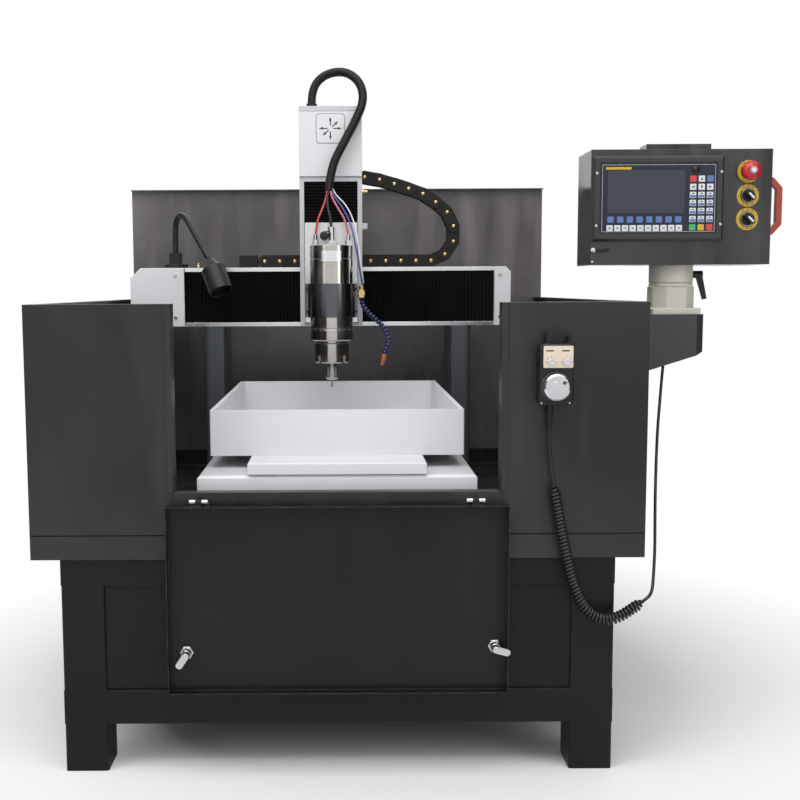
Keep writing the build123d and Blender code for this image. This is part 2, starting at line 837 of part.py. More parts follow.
# Spindle plate with its guide blocks and nut
block_back = head_back - head_web - 6
block_bottoms = (925, 1022)
with BuildPart() as spindle_plate:
    with BuildSketch(Plane.XY.offset(plate_bottom)):
        with Locations((head_x, plate_front + plate_thickness / 2)):
            Rectangle(2 * channel_half - 2, plate_thickness)
    extrude(amount=bellows_bottom - plate_bottom)
    for block_bottom in block_bottoms:
        with BuildSketch(Plane.XY.offset(block_bottom)):
            for offset_x in (-z_rail_offset, z_rail_offset):
                with Locations((head_x + offset_x, (plate_front + plate_thickness + block_back) / 2)):
                    Rectangle(32, block_back - plate_front - plate_thickness)
        extrude(amount=50)
    with BuildSketch(Plane.XY.offset(plate_bottom)):
        for offset_x in (-z_rail_offset, z_rail_offset):
            with Locations((head_x + offset_x, head_back - head_web - rail_height / 2)):
                Rectangle(rail_width + 2 * slide_play, rail_height + 2 * slide_play)
    extrude(amount=bellows_bottom - plate_bottom, mode=Mode.SUBTRACT)
    with BuildSketch(Plane.XY.offset(980)):
        with Locations((head_x, (plate_front + plate_thickness + head_back - head_web - 2) / 2)):
            Rectangle(30, head_back - head_web - 2 - plate_front - plate_thickness)
        with Locations((head_x, z_screw_y)):
            Circle(z_screw_diameter / 2 + screw_play / 2, mode=Mode.SUBTRACT)
    extrude(amount=36)
save(spindle_plate, "spindle_plate")

# Clamp: a split ring round the spindle with bolted ears, on a foot against the plate
clamp_radius = spindle_diameter / 2 + clamp_wall
with BuildPart() as spindle_clamp:
    with BuildSketch(Plane.XY.offset(clamp_bottom)):
        with Locations((spindle_x, spindle_y)):
            Circle(clamp_radius)
        with Locations((spindle_x, (spindle_y + plate_front) / 2)):
            Rectangle(spindle_diameter, plate_front - spindle_y)
        with Locations((spindle_x, spindle_y + 8)):
            Rectangle(2 * clamp_ear, ear_thickness)
        with Locations((spindle_x, spindle_y)):
            Circle(spindle_diameter / 2, mode=Mode.SUBTRACT)
        for hand in (-1, 1):
            with Locations((spindle_x + hand * (clamp_ear + spindle_diameter / 2) / 2, spindle_y + 8)):
                Rectangle(clamp_ear - spindle_diameter / 2 + 2, 2, mode=Mode.SUBTRACT)
    extrude(amount=clamp_top - clamp_bottom)
save(spindle_clamp, "spindle_clamp")

# Spindle body: a turned steel barrel with a stepped, notched nose collar
barrel = spindle_diameter / 2
collar = collar_diameter / 2
bore = shaft_diameter / 2 + shaft_play / 2
with BuildPart() as spindle:
    with BuildSketch(Plane(origin=(spindle_x, spindle_y, 0), x_dir=(1, 0, 0), z_dir=(0, -1, 0))):
        with BuildLine():
            Polyline(
                (bore, collar_bottom),
                (collar - 3, collar_bottom),
                (collar, collar_bottom + 3),
                (collar, collar_bottom + 46),
                (collar - 3, collar_bottom + 48),
                (collar - 3, spindle_bottom),
                (barrel - 3, spindle_bottom),
                (barrel, spindle_bottom + 3),
                (barrel, spindle_bottom + 26),
                (barrel - 1.2, spindle_bottom + 27),
                (barrel - 1.2, spindle_bottom + 30),
                (barrel, spindle_bottom + 31),
                (barrel, spindle_top - 34),
                (barrel - 1.2, spindle_top - 33),
                (barrel - 1.2, spindle_top - 30),
                (barrel, spindle_top - 29),
                (barrel, spindle_top - 2),
                (barrel - 2, spindle_top),
                (bore, spindle_top),
                close=True,
            )
        make_face()
    revolve(axis=Axis((spindle_x, spindle_y, 0), (0, 0, 1)))
    with BuildSketch(Plane.XY.offset(spindle_top - 6)):
        with Locations((spindle_x, spindle_y)):
            Circle(barrel - 8)
    extrude(amount=6)
    with BuildSketch(Plane.XY.offset(collar_bottom)):
        with Locations((spindle_x, spindle_y)):
            with PolarLocations(collar + 2, 8):
                Rectangle(12, 9)
    extrude(amount=18, mode=Mode.SUBTRACT)
save(spindle, "spindle")

# Rotor: the shaft end, the collet nut and the cutter in it
with BuildPart() as spindle_rotor:
    with BuildSketch(Plane(origin=(spindle_x, spindle_y, 0), x_dir=(1, 0, 0), z_dir=(0, -1, 0))):
        with BuildLine():
            Polyline(
                (0, cutter_tip),
                (cutter_diameter / 2, cutter_tip + 1),
                (cutter_diameter / 2, collet_bottom),
                (collet_diameter / 2 - 5, collet_bottom),
                (collet_diameter / 2, collet_bottom + 6),
                (collet_diameter / 2, collet_top),
                (shaft_diameter / 2, collet_top),
                (shaft_diameter / 2, spindle_top - 8),
                (0, spindle_top - 8),
                close=True,
            )
        make_face()
    revolve(axis=Axis((spindle_x, spindle_y, 0), (0, 0, 1)))
    with BuildSketch(Plane.XY.offset(collet_bottom + 10)):
        with Locations((spindle_x, spindle_y)):
            with PolarLocations(collet_diameter / 2, 6):
                Rectangle(4, 5)
    extrude(amount=collet_top - collet_bottom - 10, mode=Mode.SUBTRACT)
save(spindle_rotor, "spindle_rotor")

# Water fittings and the power connector on top of the spindle
with BuildPart() as spindle_fittings:
    for fitting_x, radius, height in (
        (fitting_left + 8, 6.5, fitting_height),
        (fitting_right - 6, 6.5, fitting_height),
        (spindle_x, 10, fitting_height + 18),
    ):
        with BuildSketch(Plane.XY.offset(spindle_top)):
            with Locations((fitting_x, spindle_y)):
                RegularPolygon(radius, 6, major_radius=False)
        extrude(amount=10)
        with BuildSketch(Plane.XY.offset(spindle_top + 10)):
            with Locations((fitting_x, spindle_y)):
                Circle(radius * 0.8)
        extrude(amount=height - 10)
save(spindle_fittings, "spindle_fittings")

# Gland on the head's cover and the conduit that loops from it down to the spindle
with BuildPart() as conduit_gland:
    with BuildSketch(Plane.XY.offset(z_cover_top)):
        with Locations((gland_x, gland_y)):
            RegularPolygon(gland_diameter / 2, 6, major_radius=False)
    extrude(amount=gland_height / 2)
    with BuildSketch(Plane.XY.offset(z_cover_top + gland_height / 2)):
        with Locations((gland_x, gland_y)):
            Circle(gland_diameter / 2 - 2)
    extrude(amount=gland_height / 2)
    chamfer(conduit_gland.faces().sort_by(Axis.Z)[-1].edges(), 2)
save(conduit_gland, "conduit_gland")

conduit_points = [
    (gland_x, gland_y, z_cover_top + gland_height),
    (gland_x, gland_y, z_cover_top + gland_height + 34),
    (-30, 720, 1435),
    (21, 700, 1440),
    (58, 678, 1410),
    (67, 658, 1362),
    (44, 650, 1310),
    (14, 648, 1256),
    (-13, 644, 1204),
    (-19, 637, 1148),
]
with BuildPart() as conduit:
    with BuildLine() as conduit_line:
        cord_route("conduit", conduit_points)
    conduit_start = Plane(origin=conduit_line.line @ 0, z_dir=conduit_line.line % 0)
    with BuildSketch(conduit_start):
        Circle(conduit_diameter / 2)
    sweep(path=conduit_line.line)
conduit_length = conduit_line.wire().length
conduit_ratio = conduit.part.volume / Circle(conduit_diameter / 2).area / conduit_length
print("conduit length", round(conduit_length, 1), "volume ratio", round(conduit_ratio, 4))
save(conduit, "conduit")

# Coolant line: a valve block beside the clamp and a hose of ball-and-socket beads with a nozzle
valve_x = spindle_x + clamp_ear + valve_size / 2
valve_y = spindle_y + 18
valve_z = 905
with BuildPart() as coolant_valve:
    with BuildSketch(Plane.XY.offset(valve_z - valve_size / 2)):
        with Locations((valve_x, valve_y)):
            Rectangle(valve_size, valve_size)
    extrude(amount=valve_size)
    chamfer(coolant_valve.edges().filter_by(Axis.Z), 3)
    with BuildSketch(Plane.XY.offset(valve_z + valve_size / 2)):
        with Locations((valve_x, valve_y)):
            Circle(valve_size / 3)
    extrude(amount=10)
    with BuildSketch(Plane.XZ.offset(-(valve_y - valve_size / 2))):
        with Locations((valve_x, valve_z)):
            Circle(3)
    extrude(amount=8)
    with BuildSketch(Plane.XZ.offset(-(valve_y - valve_size / 2 - 8))):
        with Locations((valve_x, valve_z)):
            Rectangle(15, 6)
    extrude(amount=3)
save(coolant_valve, "coolant_valve")

hose_points = [
    (valve_x, valve_y, valve_z - valve_size / 2 - slide_play),
    (valve_x + 5, valve_y - 2, 874),
    (89, 610, 846),
    (113, 606, 820),
    (123, 604, 790),
    (113, 604, 762),
]
with BuildLine() as hose_line:
    Spline(*hose_points, tangents=[(0, 0, -1), (-0.25, 0, -1)])
bead_count = round(hose_line.wire().length / hose_bead)
with BuildPart() as coolant_hose:
    for i in range(bead_count):
        here = hose_line.line @ ((i + 0.02) / bead_count)
        along = hose_line.line % ((i + 0.5) / bead_count)
        bead = Plane(origin=here, z_dir=along)
        with BuildSketch(bead):
            Circle(hose_diameter / 2 - 1.5)
        with BuildSketch(bead.offset(hose_bead * 0.45)):
            Circle(hose_diameter / 2)
        with BuildSketch(bead.offset(hose_bead * 0.93)):
            Circle(hose_diameter / 2 - 2.5)
        loft(ruled=True)
    nozzle = Plane(origin=hose_line.line @ 1, z_dir=hose_line.line % 1)
    with BuildSketch(nozzle.offset(0.5)):
        Circle(hose_diameter / 2 - 1)
    with BuildSketch(nozzle.offset(28)):
        Circle(3)
    loft()
save(coolant_hose, "coolant_hose")


def chain_link(pin_x, pin_z, turn, outer):
    """One link from a pin to the next: two stadium plates and the bars that join them."""
    inset = 0 if outer else chain_plate + chain_plate_gap
    plate_y = chain_front + inset
    far_y = chain_front + chain_width - inset - chain_plate
    with BuildPart() as link:
        for y in (plate_y, far_y):
            with BuildSketch(Plane.XZ.offset(-y)):
                with Locations(Location((pin_x, pin_z), turn)):
                    with Locations((chain_pitch / 2, 0)):
                        SlotCenterToCenter(chain_pitch, chain_height)
            extrude(amount=-chain_plate)
        for offset_z in (-chain_height / 2 + 1.5, chain_height / 2 - 1.5):
            with BuildSketch(Plane.XZ.offset(-plate_y)):
                with Locations(Location((pin_x, pin_z), turn)):
                    with Locations((chain_pitch / 2, offset_z)):
                        Rectangle(6, 3)
            extrude(amount=-(far_y + chain_plate - plate_y))
    return link.part


# Drag chain: plates of alternate links, the straight run on the beam and the bend up to the head
chain_z = beam_top + chain_height / 2 + slide_play
lower_links = [
    chain_link(chain_first_pin + i * chain_pitch, chain_z, 0, i % 2 == 0) for i in range(chain_lower_links)
]
with BuildPart() as chain_lower:
    with BuildSketch(Plane.XY.offset(beam_top)):
        with Locations((chain_first_pin - chain_pitch / 2 - 22, chain_front + chain_width / 2)):
            Rectangle(46, chain_width)
    extrude(amount=chain_height)
    add(lower_links)
save(chain_lower, "chain_lower")

pin_x = chain_first_pin + chain_lower_links * chain_pitch
pin_z = chain_z
upper_links = []
for i, turn in enumerate((0,) + chain_turns):
    upper_links.append(chain_link(pin_x, pin_z, turn, (chain_lower_links + i) % 2 == 0))
    pin_x += chain_pitch * cos(radians(turn))
    pin_z += chain_pitch * sin(radians(turn))
print("chain end", round(pin_x, 1), round(pin_z, 1))
with BuildPart() as chain_upper:
    add(upper_links)
    with BuildSketch(Plane.XZ.offset(-chain_front)):
        with Locations((pin_x - 38, pin_z)):
            Rectangle(44, chain_height - 4)
    extrude(amount=-chain_width)
save(chain_upper, "chain_upper")

# Work lamp: magnet foot and neck, and the shade at the neck's end
lamp_back_point = Vector(*lamp_back)
lamp_direction = Vector(*lamp_aim).normalized()
lamp_foot_top = beam_top + lamp_base_height + lamp_block_height
neck_points = [
    (lamp_base_x, lamp_base_y, lamp_foot_top),
    (lamp_base_x, lamp_base_y, lamp_foot_top + 34),
    (lamp_base_x + 2, lamp_base_y - 3, lamp_foot_top + 76),
    (lamp_base_x + 14, lamp_base_y - 20, lamp_foot_top + 98),
    (lamp_base_x + 34, lamp_base_y - 42, lamp_foot_top + 86),
    (lamp_base_x + 62, lamp_base_y - 72, lamp_foot_top + 40),
    tuple(lamp_back_point),
]
with BuildPart() as lamp_stand:
    with BuildSketch(Plane.XY.offset(beam_top)):
        with Locations((lamp_base_x, lamp_base_y)):
            Circle(lamp_base_diameter / 2)
    extrude(amount=lamp_base_height)
    chamfer(lamp_stand.faces().sort_by(Axis.Z)[-1].edges(), 2)
    with BuildSketch(Plane.XY.offset(beam_top + lamp_base_height)):
        with Locations((lamp_base_x, lamp_base_y)):
            RectangleRounded(lamp_block, lamp_block, 4)
    extrude(amount=lamp_block_height)
    with BuildLine() as neck_line:
        cord_route("lamp neck", neck_points)
    neck_start = Plane(origin=neck_line.line @ 0, z_dir=neck_line.line % 0)
    with BuildSketch(neck_start):
        Circle(neck_diameter / 2)
    sweep(path=neck_line.line)
save(lamp_stand, "lamp_stand")

shade_axis = Plane(origin=lamp_back_point, z_dir=lamp_direction)
with BuildPart() as lamp_head:
    with BuildSketch(shade_axis.offset(shade_gap)):
        Circle(neck_diameter / 2 + 3)
    with BuildSketch(shade_axis.offset(lamp_cone_length)):
        Circle(lamp_head_diameter / 2 - 3)
    loft()
    with BuildSketch(shade_axis.offset(lamp_cone_length)):
        Circle(lamp_head_diameter / 2)
    extrude(amount=lamp_head_length - 8)
    with BuildSketch(shade_axis.offset(lamp_cone_length + lamp_head_length - 20)):
        Circle(lamp_head_diameter / 2 - 4)
    extrude(amount=20, mode=Mode.SUBTRACT)
save(lamp_head, "lamp_head")

# Arm bracket on the right cover, tapered towards its tip
bracket_right = side + bracket_reach
with BuildPart() as console_bracket:
    with BuildSketch(Plane.XZ.offset(-bracket_front)):
        with BuildLine():
            Polyline(
                (side, bracket_top),
                (bracket_right, bracket_top),
                (bracket_right, bracket_top - bracket_tip_height),
                (bracket_right - bracket_corner, bracket_top - bracket_tip_height - 7),
                (side, bracket_top - bracket_root_height),
                close=True,
            )
        make_face()
    extrude(amount=-bracket_depth)
    tip_edges = console_bracket.edges().filter_by(Axis.Z).group_by(Axis.X)[-1]
    chamfer(tip_edges, bracket_corner)
save(console_bracket, "console_bracket")

# Column: a cast base with cut corners, and the round swivel head that carries the console
with BuildPart() as column_base:
    with BuildSketch(Plane.XY.offset(bracket_top)):
        with Locations((column_x, column_y)):
            Rectangle(column_flange, column_flange)
    extrude(amount=column_flange_height)
    chamfer(column_base.faces().sort_by(Axis.Z)[-1].edges(), 2)
    with BuildSketch(Plane.XY.offset(bracket_top + column_flange_height)):
        with Locations((column_x, column_y)):
            Rectangle(column_side, column_side)
        chamfer(vertices(), column_corner)
    extrude(amount=column_top - bracket_top - column_flange_height)
    with BuildSketch(Plane.XY.offset(column_top)):
        with Locations((column_x, column_y)):
            Circle(swivel_stem / 2)
    extrude(amount=-swivel_stem_height - slide_play, mode=Mode.SUBTRACT)
save(column_base, "column_base")

with BuildPart() as swivel_head:
    with BuildSketch(Plane.XY.offset(column_top + slide_play)):
        with Locations((column_x, column_y)):
            Circle(swivel_diameter / 2)
    extrude(amount=console_bottom - column_top - slide_play)
    with BuildSketch(Plane.XY.offset(column_top + 7)):
        with Locations((column_x, column_y)):
            Circle(swivel_diameter / 2)
            Circle(swivel_diameter / 2 - 1.5, mode=Mode.SUBTRACT)
    extrude(amount=2, mode=Mode.SUBTRACT)
    with BuildSketch(Plane.XY.offset(column_top + slide_play)):
        with Locations((column_x, column_y)):
            Circle(swivel_stem / 2 - screw_play / 2)
    extrude(amount=-swivel_stem_height)
save(swivel_head, "swivel_head")

# Clamp lever on the side of the swivel head
lever_x = column_x + swivel_diameter / 2 + slide_play
lever_z = (column_top + console_bottom) / 2 + 3
with BuildPart() as clamp_lever:
    with BuildSketch(Plane.YZ.offset(lever_x)):
        with Locations((column_y, lever_z)):
            Circle(lever_hub / 2)
    extrude(amount=20)
    with BuildSketch(Plane.XY.offset(lever_z)):
        with Locations((lever_x + 13, column_y)):
            Rectangle(12, 11)
    with BuildSketch(Plane(origin=(lever_x + 26, column_y, lever_z - lever_length), z_dir=(0.25, 0, -1))):
        Rectangle(8, 8)
    loft()
save(clamp_lever, "clamp_lever")

# Console: a folded steel box with a low cap on top
with BuildPart() as console_box:
    with BuildSketch(Plane.XY.offset(console_bottom)):
        with Locations(((console_left + console_right) / 2, console_front + console_depth / 2)):
            Rectangle(console_right - console_left, console_depth)
    extrude(amount=console_top - console_bottom)
    fillet(console_box.edges().filter_by(Axis.Z), 2)
    cap_length, cap_depth, cap_height = console_cap
    with BuildSketch(Plane.XY.offset(console_top)):
        with Locations((console_cap_x, console_front + 8 + cap_depth / 2)):
            Rectangle(cap_length, cap_depth)
    extrude(amount=cap_height)
    for switch_z in (estop_z, upper_switch_z, lower_switch_z):
        with BuildSketch(Plane.XZ.offset(-console_front)):
            with Locations((switch_x, switch_z)):
                Circle(switch_hole / 2 + switch_play / 2)
        extrude(amount=-24, mode=Mode.SUBTRACT)
save(console_box, "console_box")

# Control unit: a bevelled bezel let into a shallow frame, with a recessed front film
with BuildPart() as control_unit:
    unit_middle = ((unit_left + unit_right) / 2, (unit_bottom + unit_top) / 2)
    unit_size = (unit_right - unit_left, unit_top - unit_bottom)
    with BuildSketch(Plane.XZ.offset(-console_front)):
        with Locations(unit_middle):
            Rectangle(*unit_size)
    extrude(amount=unit_proud)
    chamfer(control_unit.faces().sort_by(Axis.Y)[0].edges(), unit_bevel)
    with BuildSketch(Plane.XZ.offset(-console_front + unit_proud)):
        with Locations(unit_middle):
            Rectangle(unit_size[0] - 2 * film_margin, unit_size[1] - 2 * film_margin)
    extrude(amount=-film_recess, mode=Mode.SUBTRACT)
save(control_unit, "control_unit")

# Mushroom stop button and the two selector knobs, each on a stem in its hole
with BuildPart() as estop_button:
    with BuildSketch(Plane(origin=(switch_x, console_front, estop_z), x_dir=(1, 0, 0), z_dir=(0, 0, 1))):
        with BuildLine():
            outer = estop_diameter / 2
            stem = switch_hole / 2
            crown_radius = (outer**2 + crown_rise**2) / (2 * crown_rise)
            crown_middle = radians(0.5 * Vector(crown_radius - crown_rise, outer).get_angle(Vector(1, 0)))
            Polyline((0, 16), (stem, 16), (stem, -14), (outer - 3, -14), (outer, crown_rise - button_reach))
            ThreePointArc(
                (outer, crown_rise - button_reach),
                (
                    crown_radius * sin(crown_middle),
                    crown_radius * (1 - cos(crown_middle)) - button_reach,
                ),
                (0, -button_reach),
            )
            Line((0, -button_reach), (0, 16))
        make_face()
    revolve(axis=Axis((switch_x, console_front, estop_z), (0, 1, 0)))
save(estop_button, "estop_button")

for knob_z, angle, name in (
    (upper_switch_z, -50, "selector_upper"),
    (lower_switch_z, -50, "selector_lower"),
):
    with BuildPart() as knob:
        with BuildSketch(Plane.XZ.offset(-console_front - 16)):
            with Locations((switch_x, knob_z)):
                Circle(switch_hole / 2)
        extrude(amount=17)
        with BuildSketch(Plane.XZ.offset(-console_front + 1)):
            with Locations((switch_x, knob_z)):
                Circle(knob_diameter / 2)
        extrude(amount=6)
        with BuildSketch(Plane.XZ.offset(-console_front + 7)):
            with Locations(Location((switch_x, knob_z), angle)):
                SlotOverall(knob_diameter, 9)
        extrude(amount=knob_height - 6)
    save(knob, name)

# Pull handle on the console's right side
handle_z = (console_top + console_bottom) / 2 + 5
with BuildPart() as console_handle:
    half = handle_length / 2
    reach = console_right + handle_reach
    with BuildSketch(Plane.XZ.offset(-(column_y - handle_bar / 2))):
        with BuildLine():
            Polyline(
                (console_right, handle_z - half),
                (reach - handle_bar * 1.5, handle_z - half + 4),
                (reach, handle_z - half + 24),
                (reach, handle_z + half - 24),
                (reach - handle_bar * 1.5, handle_z + half - 4),
                (console_right, handle_z + half),
                (console_right, handle_z + half - handle_bar),
                (reach - handle_bar * 1.9, handle_z + half - handle_bar - 4),
                (reach - handle_bar, handle_z + half - 28),
                (reach - handle_bar, handle_z - half + 28),
                (reach - handle_bar * 1.9, handle_z - half + handle_bar + 4),
                (console_right, handle_z - half + handle_bar),
                close=True,
            )
        make_face()
    extrude(amount=-handle_bar)
save(console_handle, "console_handle")

# Handset held flat on the right cover: housing with a carrying loop, dials, wheel and strain relief
handset_middle = handset_bottom + handset_height / 2
handset_front = handset_seat + handset_depth
with BuildPart() as handset:
    with BuildSketch(Plane.XZ.offset(handset_seat)):
        with Locations((handset_x, handset_middle)):
            RectangleRounded(handset_width, handset_height, handset_corner)
    extrude(amount=handset_depth)
    chamfer(handset.faces().sort_by(Axis.Y)[0].edges(), 2)
    loop_bottom = handset_bottom + handset_height
    with BuildSketch(Plane.XZ.offset(handset_seat + 10)):
        with Locations((handset_x + 6, loop_bottom + loop_height / 2 - 3)):
            RectangleRounded(loop_width, loop_height + 6, 5)
        with Locations((handset_x + 6, loop_bottom + loop_height / 2 - loop_bar / 2)):
            RectangleRounded(loop_width - 2 * loop_bar, loop_height - loop_bar, 3, mode=Mode.SUBTRACT)
    extrude(amount=12)
    with BuildSketch(Plane.XZ.offset(handset_front)):
        with Locations((wheel_x, wheel_z)):
            Circle(wheel_boss / 2)
    extrude(amount=1.7)
    for hole_x, hole_z, hole in (
        (wheel_x, wheel_z, 8),
        (dial_left_x, dial_z, 6),
        (dial_right_x, dial_z, 6),
    ):
        with BuildSketch(Plane.XZ.offset(handset_front + 3)):
            with Locations((hole_x, hole_z)):
                Circle(hole / 2 + switch_play / 2)
        extrude(amount=-15, mode=Mode.SUBTRACT)
    relief_x = handset_x - 8.6
    relief_y = -handset_front / 2
    with BuildSketch(Plane.XY.offset(handset_bottom)):
        with Locations((relief_x, relief_y)):
            Circle(relief_diameter / 2)
    with BuildSketch(Plane.XY.offset(handset_bottom - relief_length)):
        with Locations((relief_x, relief_y)):
            Circle(cord_diameter / 2 + 1)
    loft()
save(handset, "handset")

with BuildPart() as hand_wheel:
    with BuildSketch(Plane.XZ.offset(handset_front + 2)):
        with Locations((wheel_x, wheel_z)):
            Circle(wheel_diameter / 2)
    extrude(amount=wheel_height)
    chamfer(hand_wheel.faces().sort_by(Axis.Y)[0].edges(), 3)
    with BuildSketch(Plane.XZ.offset(handset_front + 2 + wheel_height)):
        with Locations((wheel_x - 5, wheel_z + 14)):
            Circle(4.5)
    extrude(amount=-4, mode=Mode.SUBTRACT)
    with BuildSketch(Plane.XZ.offset(handset_front - 9)):
        with Locations((wheel_x, wheel_z)):
            Circle(4)
    extrude(amount=12)
save(hand_wheel, "hand_wheel")

for dial_x, name in ((dial_left_x, "dial_left"), (dial_right_x, "dial_right")):
    with BuildPart() as dial:
        with BuildSketch(Plane.XZ.offset(handset_front - 9)):
            with Locations((dial_x, dial_z)):
                Circle(3)
        extrude(amount=10)
        with BuildSketch(Plane.XZ.offset(handset_front + 1)):
            with Locations((dial_x, dial_z)):
                Circle(dial_diameter / 2)
        extrude(amount=dial_height)
        with BuildSketch(Plane.XZ.offset(handset_front + 1 + dial_height)):
            with Locations((dial_x, dial_z + 3)):
                Rectangle(1.6, 6)
        extrude(amount=-1, mode=Mode.SUBTRACT)
    save(dial, name)

# Handset lead: a plain stretch, the curled stretch as one fat tube, and the plain end to the bracket
curl_top = (relief_x + 9, relief_y, 556)
curl_end = (570, relief_y - 2, 336)
lead_top_points = [
    (relief_x, relief_y, handset_bottom - relief_length),
    (relief_x + 0.5, relief_y, 632),
    (relief_x + 3, relief_y - 0.5, 600),
    curl_top,
]
curl_points = [
    curl_top,
    (408, relief_y - 1, 505),
    (420, relief_y - 2, 440),
    (437, relief_y - 3, 368),
    (462, relief_y - 3, 316),
    (508, relief_y - 3, 294),
    curl_end,
]
lead_end_points = [
    curl_end,
    (588, relief_y + 10, 346),
    (598, 20, 372),
    (607, 46, 418),
    (615, 78, 470),
    (623, 108, 524),
    (632, 138, 580),
    (641, 165, 636),
    (651, 188, 688),
    (658, 204, 728),
    (662.8, 212, bracket_top - bracket_root_height + 27.2),
]
for points, diameter, name in (
    (lead_top_points, cord_diameter, "handset_lead_top"),
    (curl_points, curl_diameter, "handset_lead_curl"),
    (lead_end_points, cord_diameter, "handset_lead_end"),
):
    with BuildPart() as lead:
        with BuildLine() as lead_line:
            cord_route(name, points)
        lead_start = Plane(origin=lead_line.line @ 0, z_dir=lead_line.line % 0)
        with BuildSketch(lead_start):
            Circle(diameter / 2)
        sweep(path=lead_line.line)
    lead_length = lead_line.wire().length
    lead_ratio = lead.part.volume / Circle(diameter / 2).area / lead_length
    print(name, "length", round(lead_length, 1), "volume ratio", round(lead_ratio, 4))
    save(lead, name)
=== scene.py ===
# %% [markdown]
# # A small moving-table milling machine
#
# The machine arrives as a finished CAD model: sixty separate pieces on nineteen bodies. This lesson
# gives each piece the finish that it has in the workshop, and adds what a CAD model leaves out: pleated
# covers, curly leads, keys, screws and hoses. Lengths are measured in the workshop's own frame,
# in millimetres from the middle of the front sheet at floor height, and one helper turns them into metres.

# %% Load the CAD model
import json
import math

import bpy
import numpy as np
from mathutils import Matrix, Vector


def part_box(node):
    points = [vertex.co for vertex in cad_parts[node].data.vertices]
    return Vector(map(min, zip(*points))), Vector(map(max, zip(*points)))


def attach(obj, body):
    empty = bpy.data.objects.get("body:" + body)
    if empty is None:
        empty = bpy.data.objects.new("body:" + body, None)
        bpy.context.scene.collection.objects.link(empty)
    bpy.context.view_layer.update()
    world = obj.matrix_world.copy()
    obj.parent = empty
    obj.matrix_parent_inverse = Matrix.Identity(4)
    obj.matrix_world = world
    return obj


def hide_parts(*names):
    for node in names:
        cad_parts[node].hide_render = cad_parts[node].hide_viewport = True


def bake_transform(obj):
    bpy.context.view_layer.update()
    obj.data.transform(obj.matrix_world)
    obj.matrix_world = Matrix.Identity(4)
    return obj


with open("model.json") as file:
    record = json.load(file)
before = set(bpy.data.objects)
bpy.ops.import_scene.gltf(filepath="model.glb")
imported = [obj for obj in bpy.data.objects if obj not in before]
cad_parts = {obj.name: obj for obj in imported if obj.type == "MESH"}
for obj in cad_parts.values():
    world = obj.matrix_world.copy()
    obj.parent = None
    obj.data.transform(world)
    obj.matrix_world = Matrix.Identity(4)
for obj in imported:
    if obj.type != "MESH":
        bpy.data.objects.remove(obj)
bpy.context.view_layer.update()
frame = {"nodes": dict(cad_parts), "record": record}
nodes = frame["nodes"]

# %% [markdown]
# ## One frame for all measures
# A fitter measures from the machine's middle and its front sheet. The CAD model has its zero under the
# middle of the whole object, so every measure is moved by the same two distances.

# %% Measures to metres
MIDDLE_X = 164.5
MIDDLE_Y = 528.85


def metres(points):
    """Workshop millimetres to the model's metres: subtract the middle, divide by a thousand."""
    return (np.asarray(points, float) - (MIDDLE_X, MIDDLE_Y, 0)) / 1000


def spot(x, y, z):
    """One place as a tuple in metres."""
    return tuple(float(v) for v in metres((x, y, z)))


def millimetres(corners):
    """The model's metres back to workshop millimetres: multiply by a thousand, add the middle."""
    return np.array(corners, float) * 1000 + (MIDDLE_X, MIDDLE_Y, 0)


def placed(name, data):
    """A new object of the data, linked to the scene."""
    thing = bpy.data.objects.new(name, data)
    bpy.context.scene.collection.objects.link(thing)
    return thing


# %% [markdown]
# ## The camera
# The camera stands about two metres in front, a little to the left of the whole machine's middle, with a
# normal lens tipped about six degrees down. The frame's middle lies to the right of the lens axis, which a
# small sideways shift gives without turning the verticals.

# %% Camera
camera_data = bpy.data.cameras.new("workshop_camera")
camera_data.lens = 49.5
camera_data.sensor_width = 36
camera_data.shift_x = 0.07375
camera = placed("workshop_camera", camera_data)
tip_down = Matrix.Rotation(math.radians(84.21), 4, "X")
roll = Matrix.Rotation(math.radians(-0.3), 4, "Z")
camera.matrix_world = Matrix.Translation(spot(8, -2018.5, 917.5)) @ tip_down @ roll
bpy.context.scene.camera = camera
print("camera at", [round(v, 3) for v in camera.location])

# %% [markdown]
# ## Surfaces from grids
# Nearly every added piece is a grid of points: rows along one parameter, columns along the other. One helper
# joins a grid into four-sided faces, closes it round where asked, and caps its ends, so that a new piece
# needs only the formula of its points.


# %% A grid of points becomes a closed surface
def surface(name, grid, around=True, caps=True, smooth=True, looped=False):
    """Faces join point (i, j) to (i+1, j), (i+1, j+1) and (i, j+1). around=True joins the last column to the
    first, and looped=True the last row to the first. A cap is one face over the first or the last row."""
    rows, columns = grid.shape[:2]
    i = np.arange(rows if looped else rows - 1)[:, None]
    j = np.arange(columns if around else columns - 1)[None, :]
    below, right = (i + 1) % rows, (j + 1) % columns
    quads = np.stack(np.broadcast_arrays(i * columns + j, i * columns + right, below * columns + right,
                                         below * columns + j), axis=-1).reshape(-1, 4)
    faces = quads.tolist()
    if caps and around and not looped:
        faces.append(list(range(columns))[::-1])
        faces.append(list(range((rows - 1) * columns, rows * columns)))
    mesh = bpy.data.meshes.new(name)
    mesh.from_pydata(grid.reshape(-1, 3).tolist(), [], faces)
    mesh.update()
    if signed_volume(mesh) < 0:
        mesh.flip_normals()
    mesh.polygons.foreach_set("use_smooth", np.full(len(mesh.polygons), smooth))
    return placed(name, mesh)


def signed_volume(mesh):
    """Sum over the triangles of a . (b x c) / 6: positive when the faces point outwards."""
    mesh.calc_loop_triangles()
    corners = np.empty(len(mesh.loop_triangles) * 3, int)
    mesh.loop_triangles.foreach_get("vertices", corners)
    points = np.empty(len(mesh.vertices) * 3)
    mesh.vertices.foreach_get("co", points)
    a, b, c = points.reshape(-1, 3)[corners.reshape(-1, 3)].transpose(1, 0, 2)
    return float(np.einsum("ij,ij->", a, np.cross(b, c)) / 6)


